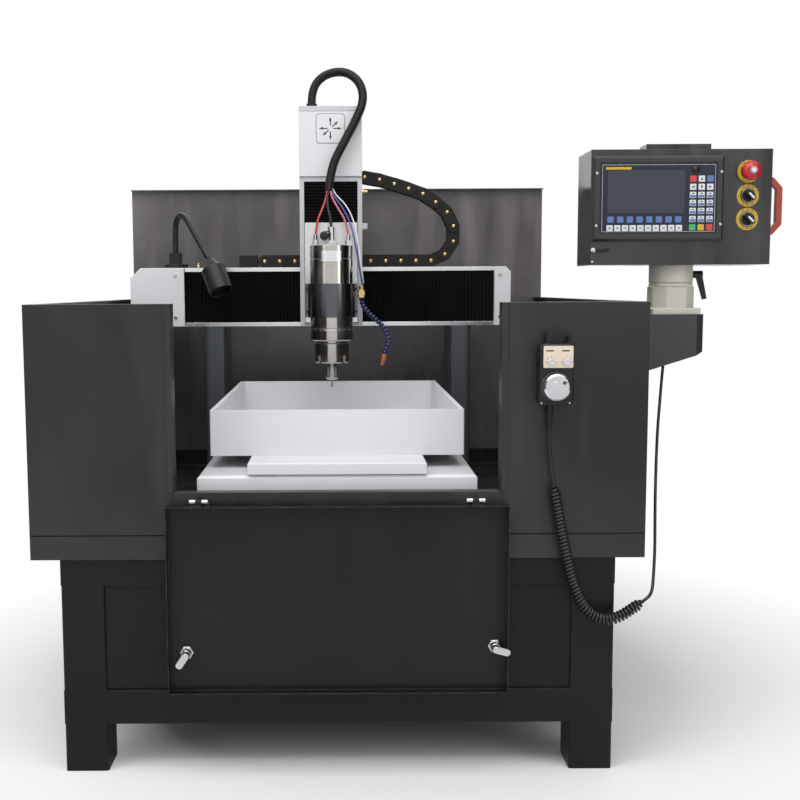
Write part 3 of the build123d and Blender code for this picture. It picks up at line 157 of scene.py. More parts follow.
def read(rows, field, width, kind):
    """One field of a mesh's points, corners or faces as an array, width numbers to a row."""
    values = np.empty(len(rows) * width, kind)
    rows.foreach_get(field, values)
    return values


def joined(name, parts):
    """Several surfaces become one mesh: points, corners and faces are put end to end, each part's numbers
    raised by what stands before them."""
    meshes = [part.data for part in parts]
    first_point = np.cumsum([0] + [len(mesh.vertices) for mesh in meshes])
    first_corner = np.cumsum([0] + [len(mesh.loops) for mesh in meshes])
    points = np.concatenate([read(mesh.vertices, "co", 3, float) for mesh in meshes])
    corners = np.concatenate([read(mesh.loops, "vertex_index", 1, int) + start
                              for mesh, start in zip(meshes, first_point)])
    starts = np.concatenate([read(mesh.polygons, "loop_start", 1, int) + start
                             for mesh, start in zip(meshes, first_corner)])
    smooth = np.concatenate([read(mesh.polygons, "use_smooth", 1, bool) for mesh in meshes])
    merged = bpy.data.meshes.new(name)
    merged.vertices.add(int(first_point[-1]))
    merged.vertices.foreach_set("co", points)
    merged.loops.add(int(first_corner[-1]))
    merged.loops.foreach_set("vertex_index", corners)
    merged.polygons.add(len(starts))
    merged.polygons.foreach_set("loop_start", starts)
    merged.polygons.foreach_set("use_smooth", smooth)
    merged.update(calc_edges=True)
    for part in parts:
        bpy.data.objects.remove(part)
    return placed(name, merged)


# %% [markdown]
# ## Leads and hoses follow a spline
# A cable has no corners: it bends as one smooth line. A NURBS spline with a few control points gives that
# line, and everything wound or ribbed follows points read back from it.


# %% Read a smooth route, and sweep a tube along it
def smooth_route(points, steps=20):
    """The points of a NURBS spline of order 3 through its end points, in metres, as an array."""
    curve = bpy.data.curves.new("route", "CURVE")
    curve.dimensions = "3D"
    curve.resolution_u = steps
    spline = curve.splines.new("NURBS")
    spline.points.add(len(points) - 1)
    spline.points.foreach_set("co", np.c_[metres(points), np.ones(len(points))].ravel())
    spline.order_u = 3
    spline.use_endpoint_u = True
    holder = placed("route", curve)
    bpy.context.view_layer.update()
    mesh = bpy.data.meshes.new_from_object(holder)
    route = np.empty(len(mesh.vertices) * 3)
    mesh.vertices.foreach_get("co", route)
    bpy.data.objects.remove(holder)
    bpy.data.curves.remove(curve)
    bpy.data.meshes.remove(mesh)
    return route.reshape(-1, 3)


def distances(path):
    """The length along the path at each of its points."""
    return np.r_[0, np.cumsum(np.linalg.norm(np.diff(path, axis=0), axis=1))]


def even(path, count):
    """The same line with count points at equal lengths along it. Columns after the third are carried too."""
    along = distances(path[:, :3])
    wanted = np.linspace(0, along[-1], count)
    return np.stack([np.interp(wanted, along, column) for column in path.T], axis=1)


def across(path, hint):
    """Two unit vectors square to the path at each point: the hint made square to it, and the cross product.
    The hint is one direction, or one for each point."""
    tangent = np.gradient(path, axis=0)
    tangent /= np.linalg.norm(tangent, axis=1, keepdims=True)
    first = hint - tangent * np.sum(tangent * hint, axis=1, keepdims=True)
    first /= np.linalg.norm(first, axis=1, keepdims=True)
    return first, np.cross(tangent, first)


def tube(name, path, radius, hint=(0, 1, 0), sides=16):
    """Circle of the given radius at each path point: centre + r (cos a first + sin a second)."""
    first, second = across(path, np.asarray(hint, float))
    angle = np.linspace(0, 2 * np.pi, sides, endpoint=False)
    r = np.broadcast_to(radius, len(path))[:, None, None]
    ring = np.cos(angle)[None, :, None] * first[:, None] + np.sin(angle)[None, :, None] * second[:, None]
    return surface(name, path[:, None] + r * ring)


# %% [markdown]
# ## The curly lead of the hand-held unit
# The lead hangs from the unit, winds into a tight spring that sags in a loop, and climbs straight to the
# console's bracket. It is one cable six millimetres thick, so it is made as one: the smooth route is offset
# by a turning radius that grows from nothing to the spring's, stays, and falls back to nothing.

# %% Curly lead
LEAD_THICK = 6.0
SPRING_RADIUS = 8.0
lead_top = [(390, -17.15, 656), (390.5, -17.15, 632), (393, -17.65, 600), (399, -17.15, 556)]
lead_spring = [(408, -18.15, 505), (420, -19.15, 440), (437, -20.15, 368), (462, -20.15, 316),
               (508, -20.15, 294), (570, -19.15, 336)]
lead_rise = [(588, -7.15, 346), (598, 20, 372), (607, 46, 418), (615, 78, 470), (623, 108, 524),
             (632, 138, 580), (641, 165, 636), (651, 188, 688), (658, 204, 728), (662.8, 212, 760.4)]
FINE_POINTS = 9000
lead_line = even(smooth_route(lead_top + lead_spring + lead_rise), FINE_POINTS)
along_lead = distances(lead_line)


def nearest_length(point):
    """The length along the lead at which it passes nearest to the point."""
    return along_lead[np.argmin(np.linalg.norm(lead_line - metres(point), axis=1))]


spring_start = nearest_length(lead_top[-1])
spring_end = nearest_length(lead_spring[-1])
TURN_PITCH = 0.0068
RUN_IN = 0.014
grown = (np.clip((along_lead - spring_start) / RUN_IN, 0, 1)
         * np.clip((spring_end - along_lead) / RUN_IN, 0, 1))
turn = 2 * np.pi * (np.clip(along_lead, spring_start, spring_end) - spring_start) / TURN_PITCH
lead_first, lead_second = across(lead_line, np.array((0.0, 1.0, 0.0)))
outwards = np.cos(turn)[:, None] * lead_first + np.sin(turn)[:, None] * lead_second
wound_line = lead_line + grown[:, None] * SPRING_RADIUS / 1000 * outwards
LEAD_STEP = 0.0032
carried = even(np.c_[wound_line, outwards], int(distances(wound_line)[-1] / LEAD_STEP))
lead_path = carried[:, :3]
handset_lead = tube("handset_lead", lead_path, LEAD_THICK / 2000, hint=carried[:, 3:], sides=10)
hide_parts("handset_lead_top", "handset_lead_curl", "handset_lead_end")
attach(handset_lead, "stand")

# %% [markdown]
# ## Surface effects shared by the finishes
# A finish is more than a colour. Sprayed powder has an orange-peel skin and cloudy wipe marks, turned steel
# has rings, rolled metal has fine lines, moulded plastic has grain, and all of them wear at their edges; on
# the black paints that bright edge is also a painted highlight. Each effect is a node group with named
# inputs, built once. A group puts out a colour, a roughness, a height and the normal of its rounded edges.
# The shader itself stays in the material, where the export can read it.


# %% Helpers for node groups
def preset(node, **values):
    """Sets a node's inputs. An underscore stands for a space in an input's name."""
    for label, value in values.items():
        node.inputs[label.replace("_", " ")].default_value = value


def new_group(name, colours, numbers):
    """An empty group with the named colours and numbers as its inputs, and with Color, Roughness, Height and
    Normal as its outputs. It comes with the sockets that give out what was put in."""
    group = bpy.data.node_groups.new(name, "ShaderNodeTree")
    sockets = [("INPUT", "Color", label) for label in colours]
    sockets += [("INPUT", "Float", label) for label in numbers]
    sockets += [("OUTPUT", "Color", "Color"), ("OUTPUT", "Float", "Roughness"), ("OUTPUT", "Float", "Height"),
                ("OUTPUT", "Vector", "Normal")]
    for side, kind, label in sockets:
        group.interface.new_socket(name=label, in_out=side, socket_type="NodeSocket" + kind)
    group.nodes.new("NodeGroupOutput")
    return group, group.nodes.new("NodeGroupInput").outputs


def noise(group, scale, detail=3.0, stretch=(1, 1, 1)):
    """Noise in the piece's own coordinates, drawn out along an axis by a small stretch there."""
    place = group.nodes.new("ShaderNodeTexCoord")
    mapping = group.nodes.new("ShaderNodeMapping")
    preset(mapping, Scale=stretch)
    texture = group.nodes.new("ShaderNodeTexNoise")
    preset(texture, Scale=scale, Detail=detail)
    group.links.new(place.outputs["Object"], mapping.inputs["Vector"])
    group.links.new(mapping.outputs["Vector"], texture.inputs["Vector"])
    return texture.outputs["Fac"]


def ranged(tree, value, low, high):
    """The value's stretch from low to high becomes 0 to 1, held at both ends."""
    node = tree.nodes.new("ShaderNodeMapRange")
    preset(node, From_Min=low, From_Max=high)
    tree.links.new(value, node.inputs["Value"])
    return node.outputs["Result"]


def maths(tree, operation, a, b):
    """One arithmetic node; a and b are sockets or numbers."""
    node = tree.nodes.new("ShaderNodeMath")
    node.operation = operation
    for socket, value in zip(node.inputs, (a, b)):
        if isinstance(value, (int, float)):
            socket.default_value = value
        else:
            tree.links.new(value, socket)
    return node.outputs["Value"]


def blended(group, factor, a, b):
    """Colour a where the factor is 0 and colour b where it is 1."""
    node = group.nodes.new("ShaderNodeMix")
    node.data_type = "RGBA"
    for label, value in (("Factor", factor), ("A", a), ("B", b)):
        socket = next(s for s in node.inputs if s.name == label and s.enabled)
        group.links.new(value, socket)
    return next(s for s in node.outputs if s.enabled)


def rounded_edges(group, radius):
    """Links the normal of edges rounded by the radius to the group's Normal, and gives the mask of the edges:
    0 where its dot product with the flat normal is 0.98 or more, 1 where it is 0.8 or less."""
    rounded = group.nodes.new("ShaderNodeBevel")
    rounded.samples = 4
    preset(rounded, Radius=radius)
    flat = group.nodes.new("ShaderNodeNewGeometry")
    product = group.nodes.new("ShaderNodeVectorMath")
    product.operation = "DOT_PRODUCT"
    group.links.new(rounded.outputs["Normal"], product.inputs[0])
    group.links.new(flat.outputs["Normal"], product.inputs[1])
    group.links.new(rounded.outputs["Normal"], group.nodes["Group Output"].inputs["Normal"])
    return ranged(group, product.outputs["Value"], 0.98, 0.8)


def put_out(group, given, colour, dullness, height):
    """Links the results to the group's outputs. Roughness = Smooth + dullness (Rough - Smooth)."""
    spread = maths(group, "SUBTRACT", given["Rough"], given["Smooth"])
    roughness = maths(group, "ADD", given["Smooth"], maths(group, "MULTIPLY", spread, dullness))
    for label, value in (("Color", colour), ("Roughness", roughness), ("Height", height)):
        group.links.new(value, group.nodes["Group Output"].inputs[label])


# %% Sprayed paint: cloudy wipe marks, worn edges that on the black paints are also a painted highlight, orange peel
spray, given = new_group("sprayed_paint", ("Paint", "Cloud", "Edge"), ("Clouds", "Wear and highlight", "Smooth", "Rough"))
cloud = ranged(spray, noise(spray, 2.3, 5), 0.42, 0.72)
wiped = ranged(spray, noise(spray, 7, 4, (1.5, 1.5, 0.22)), 0.45, 0.75)
marks = maths(spray, "MULTIPLY", maths(spray, "MAXIMUM", cloud, wiped), given["Clouds"])
clouded = blended(spray, marks, given["Paint"], given["Cloud"])
flakes = ranged(spray, noise(spray, 45, 3), 0.4, 0.62)
# Edge band: chipped paint, and on the black paints also a painted highlight where the sheet edges catch the
# light.
chipped_and_highlit = maths(spray, "MULTIPLY", rounded_edges(spray, 0.002), flakes)
worn_and_highlit = blended(spray, maths(spray, "MULTIPLY", chipped_and_highlit, given["Wear and highlight"]), clouded, given["Edge"])
put_out(spray, given, worn_and_highlit, wiped, noise(spray, 620, 2))

# %% [markdown]
# ## Rolled and turned metal
# Bare metal keeps the fine lines of the rolls or of the lathe, dulls in patches where hands and coolant
# reach it, and shines again where it is rubbed. Noise drawn out along one axis gives the lines, and a
# broader noise the patches, so that both run on over a corner without a join.

# %% Metal: fine lines, rubbed edges, a little tarnish
rolled, given = new_group("rolled_metal", ("Metal", "Dark", "Edge"), ("Tarnish", "Smooth", "Rough"))
lines = noise(rolled, 260, 3, (0.04, 0.04, 1))
patch = ranged(rolled, noise(rolled, 9, 4), 0.4, 0.75)
mixture = maths(rolled, "ADD", maths(rolled, "MULTIPLY", patch, 0.6), maths(rolled, "MULTIPLY", lines, 0.4))
base = blended(rolled, maths(rolled, "MULTIPLY", mixture, given["Tarnish"]), given["Metal"], given["Dark"])
rubbed = maths(rolled, "MULTIPLY", rounded_edges(rolled, 0.0008), 0.5)
put_out(rolled, given, blended(rolled, rubbed, base, given["Edge"]), patch, lines)

# %% [markdown]
# ## Moulded plastic and rubber
# A moulding takes the mould's fine pits, and it grows dull and pale where it is rubbed, most of all at its
# edges. The same three parts as before make it: a fine noise for the height, a broad one for the dull
# patches, and the edge mask for the scuffs.

# %% Moulded plastic and rubber: pitted grain, dull patches, pale scuffs at the edges
moulded, given = new_group("moulded", ("Plastic", "Scuff"), ("Scuffs", "Smooth", "Rough"))
dulled = ranged(moulded, noise(moulded, 14, 4), 0.4, 0.7)
rubbed = maths(moulded, "ADD", rounded_edges(moulded, 0.0007), maths(moulded, "MULTIPLY", dulled, 0.15))
strength = maths(moulded, "MULTIPLY", rubbed, given["Scuffs"])
scuffed = blended(moulded, strength, given["Plastic"], given["Scuff"])
put_out(moulded, given, scuffed, dulled, noise(moulded, 1500, 2))
print("groups", [g.name for g in (spray, rolled, moulded)])

# %% [markdown]
# ## One material per finish
# A material is a shader fed by one of the groups, with its own colours and a bump as deep as that finish has:
# a few hundredths of a millimetre on paint, less on turned steel. What is constant all over, such as metal or
# not, is set on the shader itself. Each material goes into one list, look, under its own name.


# %% A material from a group
look = {}


def new_material(name):
    """A material, its node tree and the shader that it starts with."""
    material = bpy.data.materials.new(name)
    material.use_nodes = True
    return material, material.node_tree, material.node_tree.nodes["Principled BSDF"]


def finish(name, group, values, metallic=0.0, bump=0.15, depth=0.00005, **fixed):
    """Enters a material in the list. Its values stand in the order of the group's inputs. Its shader takes
    the group's colour and roughness, and a bump that lays the height over the rounded edges' normal."""
    material, tree, shader = new_material(name)
    preset(shader, Metallic=metallic, **fixed)
    effect = tree.nodes.new("ShaderNodeGroup")
    effect.node_tree = group
    for socket, value in zip(effect.inputs, values):
        socket.default_value = (*value, 1) if isinstance(value, tuple) else value
    skin = tree.nodes.new("ShaderNodeBump")
    preset(skin, Strength=bump, Distance=depth)
    tree.links.new(effect.outputs["Color"], shader.inputs["Base Color"])
    tree.links.new(effect.outputs["Roughness"], shader.inputs["Roughness"])
    tree.links.new(effect.outputs["Height"], skin.inputs["Height"])
    tree.links.new(effect.outputs["Normal"], skin.inputs["Normal"])
    tree.links.new(skin.outputs["Normal"], shader.inputs["Normal"])
    look[name] = material


def paint(name, colour, cloud, edge, clouds=0.35, wear_and_highlight=0.4, smooth=0.34, rough=0.5, bump=0.3, **fixed):
    """Sprayed paint in one colour, with its cloud and edge colours."""
    finish(name, spray, (colour, cloud, edge, clouds, wear_and_highlight, smooth, rough), bump=bump, **fixed)


def metal(name, colour, dark, tarnish=0.4, smooth=0.2, rough=0.38, bump=0.08):
    """Bare metal in one colour, with the colour of its tarnish. Its edges are a quarter brighter."""
    bright = tuple(min(1.0, v * 1.25) for v in colour)
    values = (colour, dark, bright, tarnish, smooth, rough)
    finish(name, rolled, values, metallic=1.0, bump=bump, depth=0.00002)


def plastic(name, colour, scuff, scuffs=0.3, smooth=0.38, rough=0.55, bump=0.2, **fixed):
    """Moulded plastic or rubber in one colour, with the colour of its scuffs."""
    finish(name, moulded, (colour, scuff, scuffs, smooth, rough), bump=bump, depth=0.00003, **fixed)


# %% [markdown]
# ## The list of finishes
# Every colour on the machine stands in one list, under the name that a maker would use for it. The blacks
# differ only a little: the covers are sprayed and cloudy, the stand is duller, the door a shade bluer.

# %% Paints
# Edge colour of the black paints: bare steel at the chips, and a painted highlight along the sheet edges.
EDGE_GREY_WEAR_AND_HIGHLIGHT = (0.2, 0.2, 0.21)
paint("black_paint", (0.013, 0.0125, 0.013), (0.045, 0.0425, 0.043), EDGE_GREY_WEAR_AND_HIGHLIGHT, 0.6, smooth=0.26, rough=0.46,
      Specular_IOR_Level=0.4)
paint("stand_paint", (0.007, 0.007, 0.008), (0.016, 0.016, 0.018), EDGE_GREY_WEAR_AND_HIGHLIGHT, smooth=0.36,
      Specular_IOR_Level=0.2)
paint("door_paint", (0.0085, 0.009, 0.011), (0.018, 0.0185, 0.021), EDGE_GREY_WEAR_AND_HIGHLIGHT, 0.5, smooth=0.3,
      Specular_IOR_Level=0.22)
paint("dark_sheet", (0.075, 0.067, 0.067), (0.22, 0.2, 0.202), EDGE_GREY_WEAR_AND_HIGHLIGHT, 0.85, smooth=0.26, rough=0.42)
paint("grey_paint", (0.075, 0.081, 0.095), (0.11, 0.117, 0.132), (0.3, 0.3, 0.31), 0.5)
paint("arm_paint", (0.035, 0.035, 0.038), (0.06, 0.06, 0.064), EDGE_GREY_WEAR_AND_HIGHLIGHT, 0.4, bump=0.7)
paint("white_paint", (0.74, 0.745, 0.76), (0.6, 0.605, 0.63), (0.42, 0.42, 0.43), 0.3, 0.25)
paint("white_plastic", (0.77, 0.77, 0.79), (0.65, 0.655, 0.69), (0.55, 0.55, 0.57), 0.3, 0.2, smooth=0.4,
      rough=0.55, bump=0.1)
paint("cover_grey", (0.58, 0.59, 0.61), (0.48, 0.49, 0.51), (0.75, 0.75, 0.76), 0.3, 0.3)
paint("cast_beige", (0.56, 0.54, 0.465), (0.44, 0.425, 0.375), (0.2, 0.19, 0.17), 0.6, 0.4, bump=0.7)
paint("bezel", (0.022, 0.022, 0.023), (0.036, 0.036, 0.037), EDGE_GREY_WEAR_AND_HIGHLIGHT, 0.3, smooth=0.4, bump=0.5)
paint("console_paint", (0.008, 0.008, 0.0085), (0.085, 0.083, 0.085), EDGE_GREY_WEAR_AND_HIGHLIGHT, 0.8, smooth=0.1, rough=0.42,
      bump=0.12)
paint("red_paint", (0.42, 0.05, 0.025), (0.5, 0.09, 0.05), (0.25, 0.2, 0.18), 0.3, 0.5)
paint("black_iron", (0.02, 0.02, 0.021), (0.04, 0.04, 0.042), EDGE_GREY_WEAR_AND_HIGHLIGHT, 0.4)
print("paints", len(look))

# %% Metals
metal("aluminium", (0.77, 0.78, 0.8), (0.55, 0.56, 0.58), 0.35, 0.24, 0.4)
metal("steel_plate", (0.7, 0.7, 0.71), (0.45, 0.45, 0.46), 0.4, 0.22, 0.4)
metal("steel", (0.56, 0.54, 0.5), (0.17, 0.16, 0.15), 0.5, 0.14, 0.32)
metal("chrome", (0.62, 0.62, 0.63), (0.35, 0.35, 0.36), 0.3, 0.08, 0.2)
metal("wheel", (0.78, 0.79, 0.81), (0.55, 0.56, 0.58), 0.35, 0.2, 0.36)
metal("cast_iron", (0.2, 0.2, 0.21), (0.09, 0.085, 0.08), 0.7, 0.35, 0.6, 0.4)
metal("dark_steel", (0.14, 0.14, 0.15), (0.06, 0.06, 0.065), 0.5, 0.22, 0.42)
metal("brass", (0.72, 0.52, 0.23), (0.35, 0.23, 0.1), 0.45, 0.2, 0.42)
print("paints and metals", len(look))

# %% Plastics and rubbers
plastic("chain", (0.012, 0.0105, 0.0095), (0.07, 0.065, 0.06), 0.4, 0.4, 0.58, Specular_IOR_Level=0.25)
plastic("black_plastic", (0.009, 0.009, 0.0095), (0.07, 0.07, 0.073), 0.3, 0.32, 0.52,
        Specular_IOR_Level=0.35)
plastic("bellows", (0.005, 0.005, 0.0055), (0.03, 0.03, 0.031), 0.5, 0.5, 0.7, Specular_IOR_Level=0.1)
plastic("conduit", (0.006, 0.006, 0.0065), (0.035, 0.035, 0.036), 0.4, 0.3, 0.46, Specular_IOR_Level=0.3)
plastic("lead", (0.008, 0.0085, 0.011), (0.05, 0.05, 0.06), 0.3, 0.26, 0.42)
plastic("hose", (0.008, 0.012, 0.085), (0.06, 0.07, 0.22), 0.3, 0.28, 0.42)
plastic("orange", (0.5, 0.15, 0.03), (0.6, 0.28, 0.1), 0.3, 0.3, 0.42)
plastic("red_plastic", (0.5, 0.012, 0.022), (0.6, 0.15, 0.15), 0.2, 0.2, 0.32)
plastic("yellow", (0.58, 0.38, 0.03), (0.45, 0.32, 0.08), 0.3, 0.3, 0.45)
plastic("film", (0.012, 0.014, 0.028), (0.03, 0.033, 0.055), 0.2, 0.16, 0.3, Specular_IOR_Level=0.4)
for name, colour, scuff in (("red_tube", (0.45, 0.03, 0.035), (0.7, 0.2, 0.2)),
                            ("pink_tube", (0.48, 0.12, 0.17), (0.7, 0.4, 0.4)),
                            ("blue_tube", (0.03, 0.055, 0.26), (0.2, 0.3, 0.6))):
    plastic(name, colour, scuff, 0.2, 0.2, 0.3)
for name, colour, scuff in (("white_key", (0.68, 0.69, 0.7), (0.5, 0.5, 0.5)),
                            ("red_key", (0.6, 0.05, 0.05), (0.6, 0.2, 0.2)),
                            ("blue_key", (0.10, 0.17, 0.42), (0.2, 0.3, 0.5)),
                            ("green_key", (0.05, 0.4, 0.13), (0.2, 0.5, 0.3)),
                            ("beige_panel", (0.78, 0.68, 0.54), (0.6, 0.53, 0.43))):
    plastic(name, colour, scuff, 0.3, 0.35, 0.5)
for name, colour, scuff, smooth in (("mark", (0.75, 0.75, 0.76), (0.6, 0.6, 0.6), 0.35),
                                    ("ink", (0.03, 0.03, 0.035), (0.05, 0.05, 0.05), 0.4),
                                    ("grey_ink", (0.3, 0.3, 0.31), (0.2, 0.2, 0.2), 0.4)):
    plastic(name, colour, scuff, 0.2, smooth, 0.5)
print("finishes", len(look))

# %% [markdown]
# ## The screen
# The display is off, so it shows as near-black glass with a clear, smooth top. It takes the moulded effect
# with hardly any grain, and a thin clear coat that is set on the shader itself.

# %% The screen: dark glass over the display, with a soft sheen
plastic("screen_glass", (0.018, 0.024, 0.038), (0.03, 0.036, 0.05), 0.1, 0.06, 0.16, 0.02,
        Coat_Weight=0.3, Coat_Roughness=0.04)
print("finishes with the screen", len(look))

# %% [markdown]
# ## Finishes on the CAD pieces
# The record says what each node is made of. A few pieces share a material there but differ on the real
# machine, such as the door, which looks bluer than the covers, so they are named here.

# %% Give every CAD node its finish
special = {"door": "door_paint", "console_bracket": "arm_paint", "z_body": "cover_grey",
           "spindle_plate": "steel_plate", "console_box": "console_paint", "z_motor_cover": "white_paint",
           "x_motor_cover": "white_paint", "x_end_cap": "white_paint", "base_frame": "stand_paint",
           "base_panels": "stand_paint"}
slot_of = {row["node"]: row["material_slot"] for row in frame["record"]["subparts"]}
for name, node in nodes.items():
    wanted = look[special.get(name, slot_of[name])]
    if not node.material_slots:
        node.data.materials.append(wanted)
    for holder in node.material_slots:
        holder.material = wanted
print("nodes finished", len(nodes))
handset_lead.data.materials.append(look["lead"])

# %% [markdown]
# ## Plates, keys and turned pieces
# Two shapes make most of the fittings. A plate is a rounded outline carried straight out and drawn in at its
# front edge. A turned piece is a profile of radii and heights carried round an axis. Both can face the
# operator, the roof or a side.

# %% Plates and turned pieces
FRONT = np.array([(1, 0, 0), (0, 0, 1), (0, -1, 0)], float)
TOP = np.array([(1, 0, 0), (0, 1, 0), (0, 0, 1)], float)
RIGHT = np.array([(0, 1, 0), (0, 0, 1), (1, 0, 0)], float)
LEFT = np.array([(0, -1, 0), (0, 0, 1), (-1, 0, 0)], float)
CORNER_STEPS = 5


def plate(name, centre, width, height, thick, corner=1.0, edge=0.3, facing=FRONT, lean=0.0):
    """Rows are one rounded rectangle: at the back, below the edge, and drawn in by the edge at the front.
    Corner points are the corner's centre plus corner (cos t, sin t); lean turns the outline in degrees."""
    turn = np.linspace(0, np.pi / 2, CORNER_STEPS)
    quarter = np.concatenate([turn + k * np.pi / 2 for k in range(4)])
    signs = np.repeat([(1, 1), (-1, 1), (-1, -1), (1, -1)], CORNER_STEPS, axis=0)
    angle = math.radians(lean)
    leaning = np.array([(math.cos(angle), math.sin(angle)), (-math.sin(angle), math.cos(angle))])
    rows = []
    for inset, out in ((0, 0), (0, thick - edge), (edge, thick)):
        round_by = max(corner - inset, 0.05)
        middle = signs * (width / 2 - inset - round_by, height / 2 - inset - round_by)
        flat = (middle + round_by * np.c_[np.cos(quarter), np.sin(quarter)]) @ leaning
        rows.append(np.c_[flat, np.full(len(flat), out)] @ facing + centre)
    return surface(name, metres(np.array(rows)), smooth=False)


def revolved(section, centre, facing, sides):
    """Each (radius, height) of the section becomes a ring: r cos a, r sin a, h in the facing's axes."""
    section = np.asarray(section, float)
    angle = np.linspace(0, 2 * np.pi, sides, endpoint=False)
    rings = np.stack([section[:, :1] * np.cos(angle), section[:, :1] * np.sin(angle),
                      np.broadcast_to(section[:, 1:], (len(section), sides))], axis=-1)
    return metres(rings @ facing + centre)


def turned(name, centre, profile, facing=FRONT, sides=28, smooth=True):
    """A profile of (radius, height) carried round the facing's axis, as on a lathe."""
    return surface(name, revolved(profile, centre, facing, sides), smooth=smooth)


def collar(name, centre, inner, outer, thick, facing=FRONT, sides=40, edge=0.4):
    """A flat ring: its section goes up the outside, over the front and down the bore, and is closed."""
    section = [(inner, 0), (outer, 0), (outer, thick - edge), (outer - edge, thick), (inner + edge, thick),
               (inner, thick - edge)]
    return surface(name, revolved(section, centre, facing, sides), smooth=False, looped=True)


def bolt(name, centre, radius, height):
    """A socket-head screw: a turned head with a hollow half as wide in its face."""
    hollow = radius * 0.5
    profile = [(radius, 0), (radius, height - 0.6), (radius - 0.5, height), (hollow, height),
               (hollow, height * 0.45)]
    return turned(name, centre, profile, sides=18, smooth=False)


def round_place(x, y, z, radius, degrees):
    """The place round (x, z) as seen from the front: x + r cos a, z + r sin a."""
    angle = math.radians(degrees)
    return x + radius * math.cos(angle), y, z + radius * math.sin(angle)


def fitted(piece, body, finish_name):
    """Gives a finished piece its material and the body that it rides on."""
    piece.data.materials.append(look[finish_name])
    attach(piece, body)


# %% [markdown]
# ## The console's front
# The control unit is a black bezel with a printed film behind its rim: a dark screen, a pad of small keys at
# the right and two rows of keys below. The film and keys are thin plates on the recessed face. Print becomes
# plain fields of colour, and the strip over the screen stays bare.

# %% Film, screen and frame line
FILM_Y, FILM_THICK, LINE, LINE_INSET = 177.0, 0.4, 0.7, 4
FILM_FACE = FILM_Y - FILM_THICK
FILM_LEFT, FILM_RIGHT, FILM_LOW, FILM_HIGH = 520.5, 750.5, 1022.0, 1160.0
film_x, film_z = (FILM_LEFT + FILM_RIGHT) / 2, (FILM_LOW + FILM_HIGH) / 2
film_width, film_height = FILM_RIGHT - FILM_LEFT, FILM_HIGH - FILM_LOW
fitted(plate("console_film", (film_x, FILM_Y, film_z), film_width, film_height, FILM_THICK, 3, 0.1),
       "console", "film")
fitted(plate("console_screen", (611, FILM_FACE, 1103.4), 152.5, 83.4, 0.5, 1.5, 0.15),
       "console", "screen_glass")
strips = [plate("line", (film_x, FILM_FACE, z), film_width - 2 * LINE_INSET, LINE, 0.15, 0.3, 0.05)
          for z in (FILM_LOW + LINE_INSET, FILM_HIGH - LINE_INSET)]
strips += [plate("line", (x, FILM_FACE, film_z), LINE, film_height - 2 * LINE_INSET, 0.15, 0.3, 0.05)
           for x in (FILM_LEFT + LINE_INSET, FILM_RIGHT - LINE_INSET)]
fitted(joined("film_frame_line", strips), "console", "mark")
fitted(plate("bare_strip", (556, FILM_FACE, 1149.3), 50, 5, 0.3, 0.6, 0.1), "console", "yellow")
print("film", film_width, "by", film_height, "frame lines", len(strips))

# %% [markdown]
# ## The keys
# The keys are raised pads on the film, all one size, in five colours. One table gives the places for
# each colour, and one plate is repeated at them. The print on them becomes a plain field, a dash or an arrow.

# %% Keys: a table of places for each colour
PAD_X = (703.0, 719.8, 736.6)
PAD_Z = (1128.6, 1112.8, 1097.1, 1081.5, 1065.9, 1050.2, 1034.0)
KEY, KEY_THICK, PRINT_THICK = 12.6, 0.9, 0.12
PRINT_Y = FILM_FACE - KEY_THICK
key_places = {
    "red_key": [(PAD_X[0], PAD_Z[0]), (PAD_X[2], PAD_Z[6])],
    "blue_key": [(PAD_X[2], PAD_Z[0])] + [(541.5 + 19.1 * k, 1049.6) for k in range(8)],
    "white_key": [(PAD_X[1], PAD_Z[0])] + [(x, z) for x in PAD_X for z in PAD_Z[1:6]]
                 + [(540.0 + 15.2 * k, 1032.9) for k in range(10)],
    "green_key": [(PAD_X[0], PAD_Z[6])],
    "yellow": [(PAD_X[1], PAD_Z[6])],
}
for colour, places in key_places.items():
    keys = [plate("key", (x, FILM_FACE, z), KEY, KEY - 0.6, KEY_THICK, 1.4, 0.25) for x, z in places]
    fitted(joined("keys_" + colour.split("_")[0], keys), "console", colour)
print("keys", sum(len(places) for places in key_places.values()))


# %% Plain fields, dashes and arrows on the keys
def pointer(name, centre, size, degrees):
    """A thin triangle: three points on a circle, the first in the given direction and the other two 140
    degrees to each side of it."""
    angle = np.radians(degrees + np.array([0, 140, 220]))
    flat = size * np.c_[np.cos(angle), np.sin(angle)]
    rows = [np.c_[flat, np.full(3, out)] @ FRONT + centre for out in (0, PRINT_THICK)]
    return surface(name, metres(np.array(rows)), smooth=False)


halves = [plate("half", (x, PRINT_Y, z - 2.6), KEY - 1.6, 5.2, PRINT_THICK, 0.8, 0.05)
          for x in PAD_X for z in PAD_Z[2:6]]
fitted(joined("key_fields", halves), "console", "blue_key")
stroke_places = [(x, z + 3) for x in PAD_X for z in PAD_Z[2:6]] + key_places["white_key"][-10:]
strokes = [plate("stroke", (x, PRINT_Y, z), 4.6, 2.0, 0.1, 0.4, 0.04) for x, z in stroke_places]
arrows = ((PAD_X[1], PAD_Z[0], 90), (PAD_X[0], PAD_Z[1], 180), (PAD_X[1], PAD_Z[1], 270),
          (PAD_X[2], PAD_Z[1], 0))
strokes += [pointer("arrow", (x, PRINT_Y, z), 3.6, degrees) for x, z, degrees in arrows]
fitted(joined("key_marks", strokes), "console", "ink")
print("fields", len(halves), "marks", len(strokes))

# %% [markdown]
# ## Rings, screws and the box's lock
# A yellow legend ring lies behind the stop button and each knob, with plain dashes for its print. The knobs
# stand in thin bright collars, four screws hold the bezel, and a small lock closes the box.

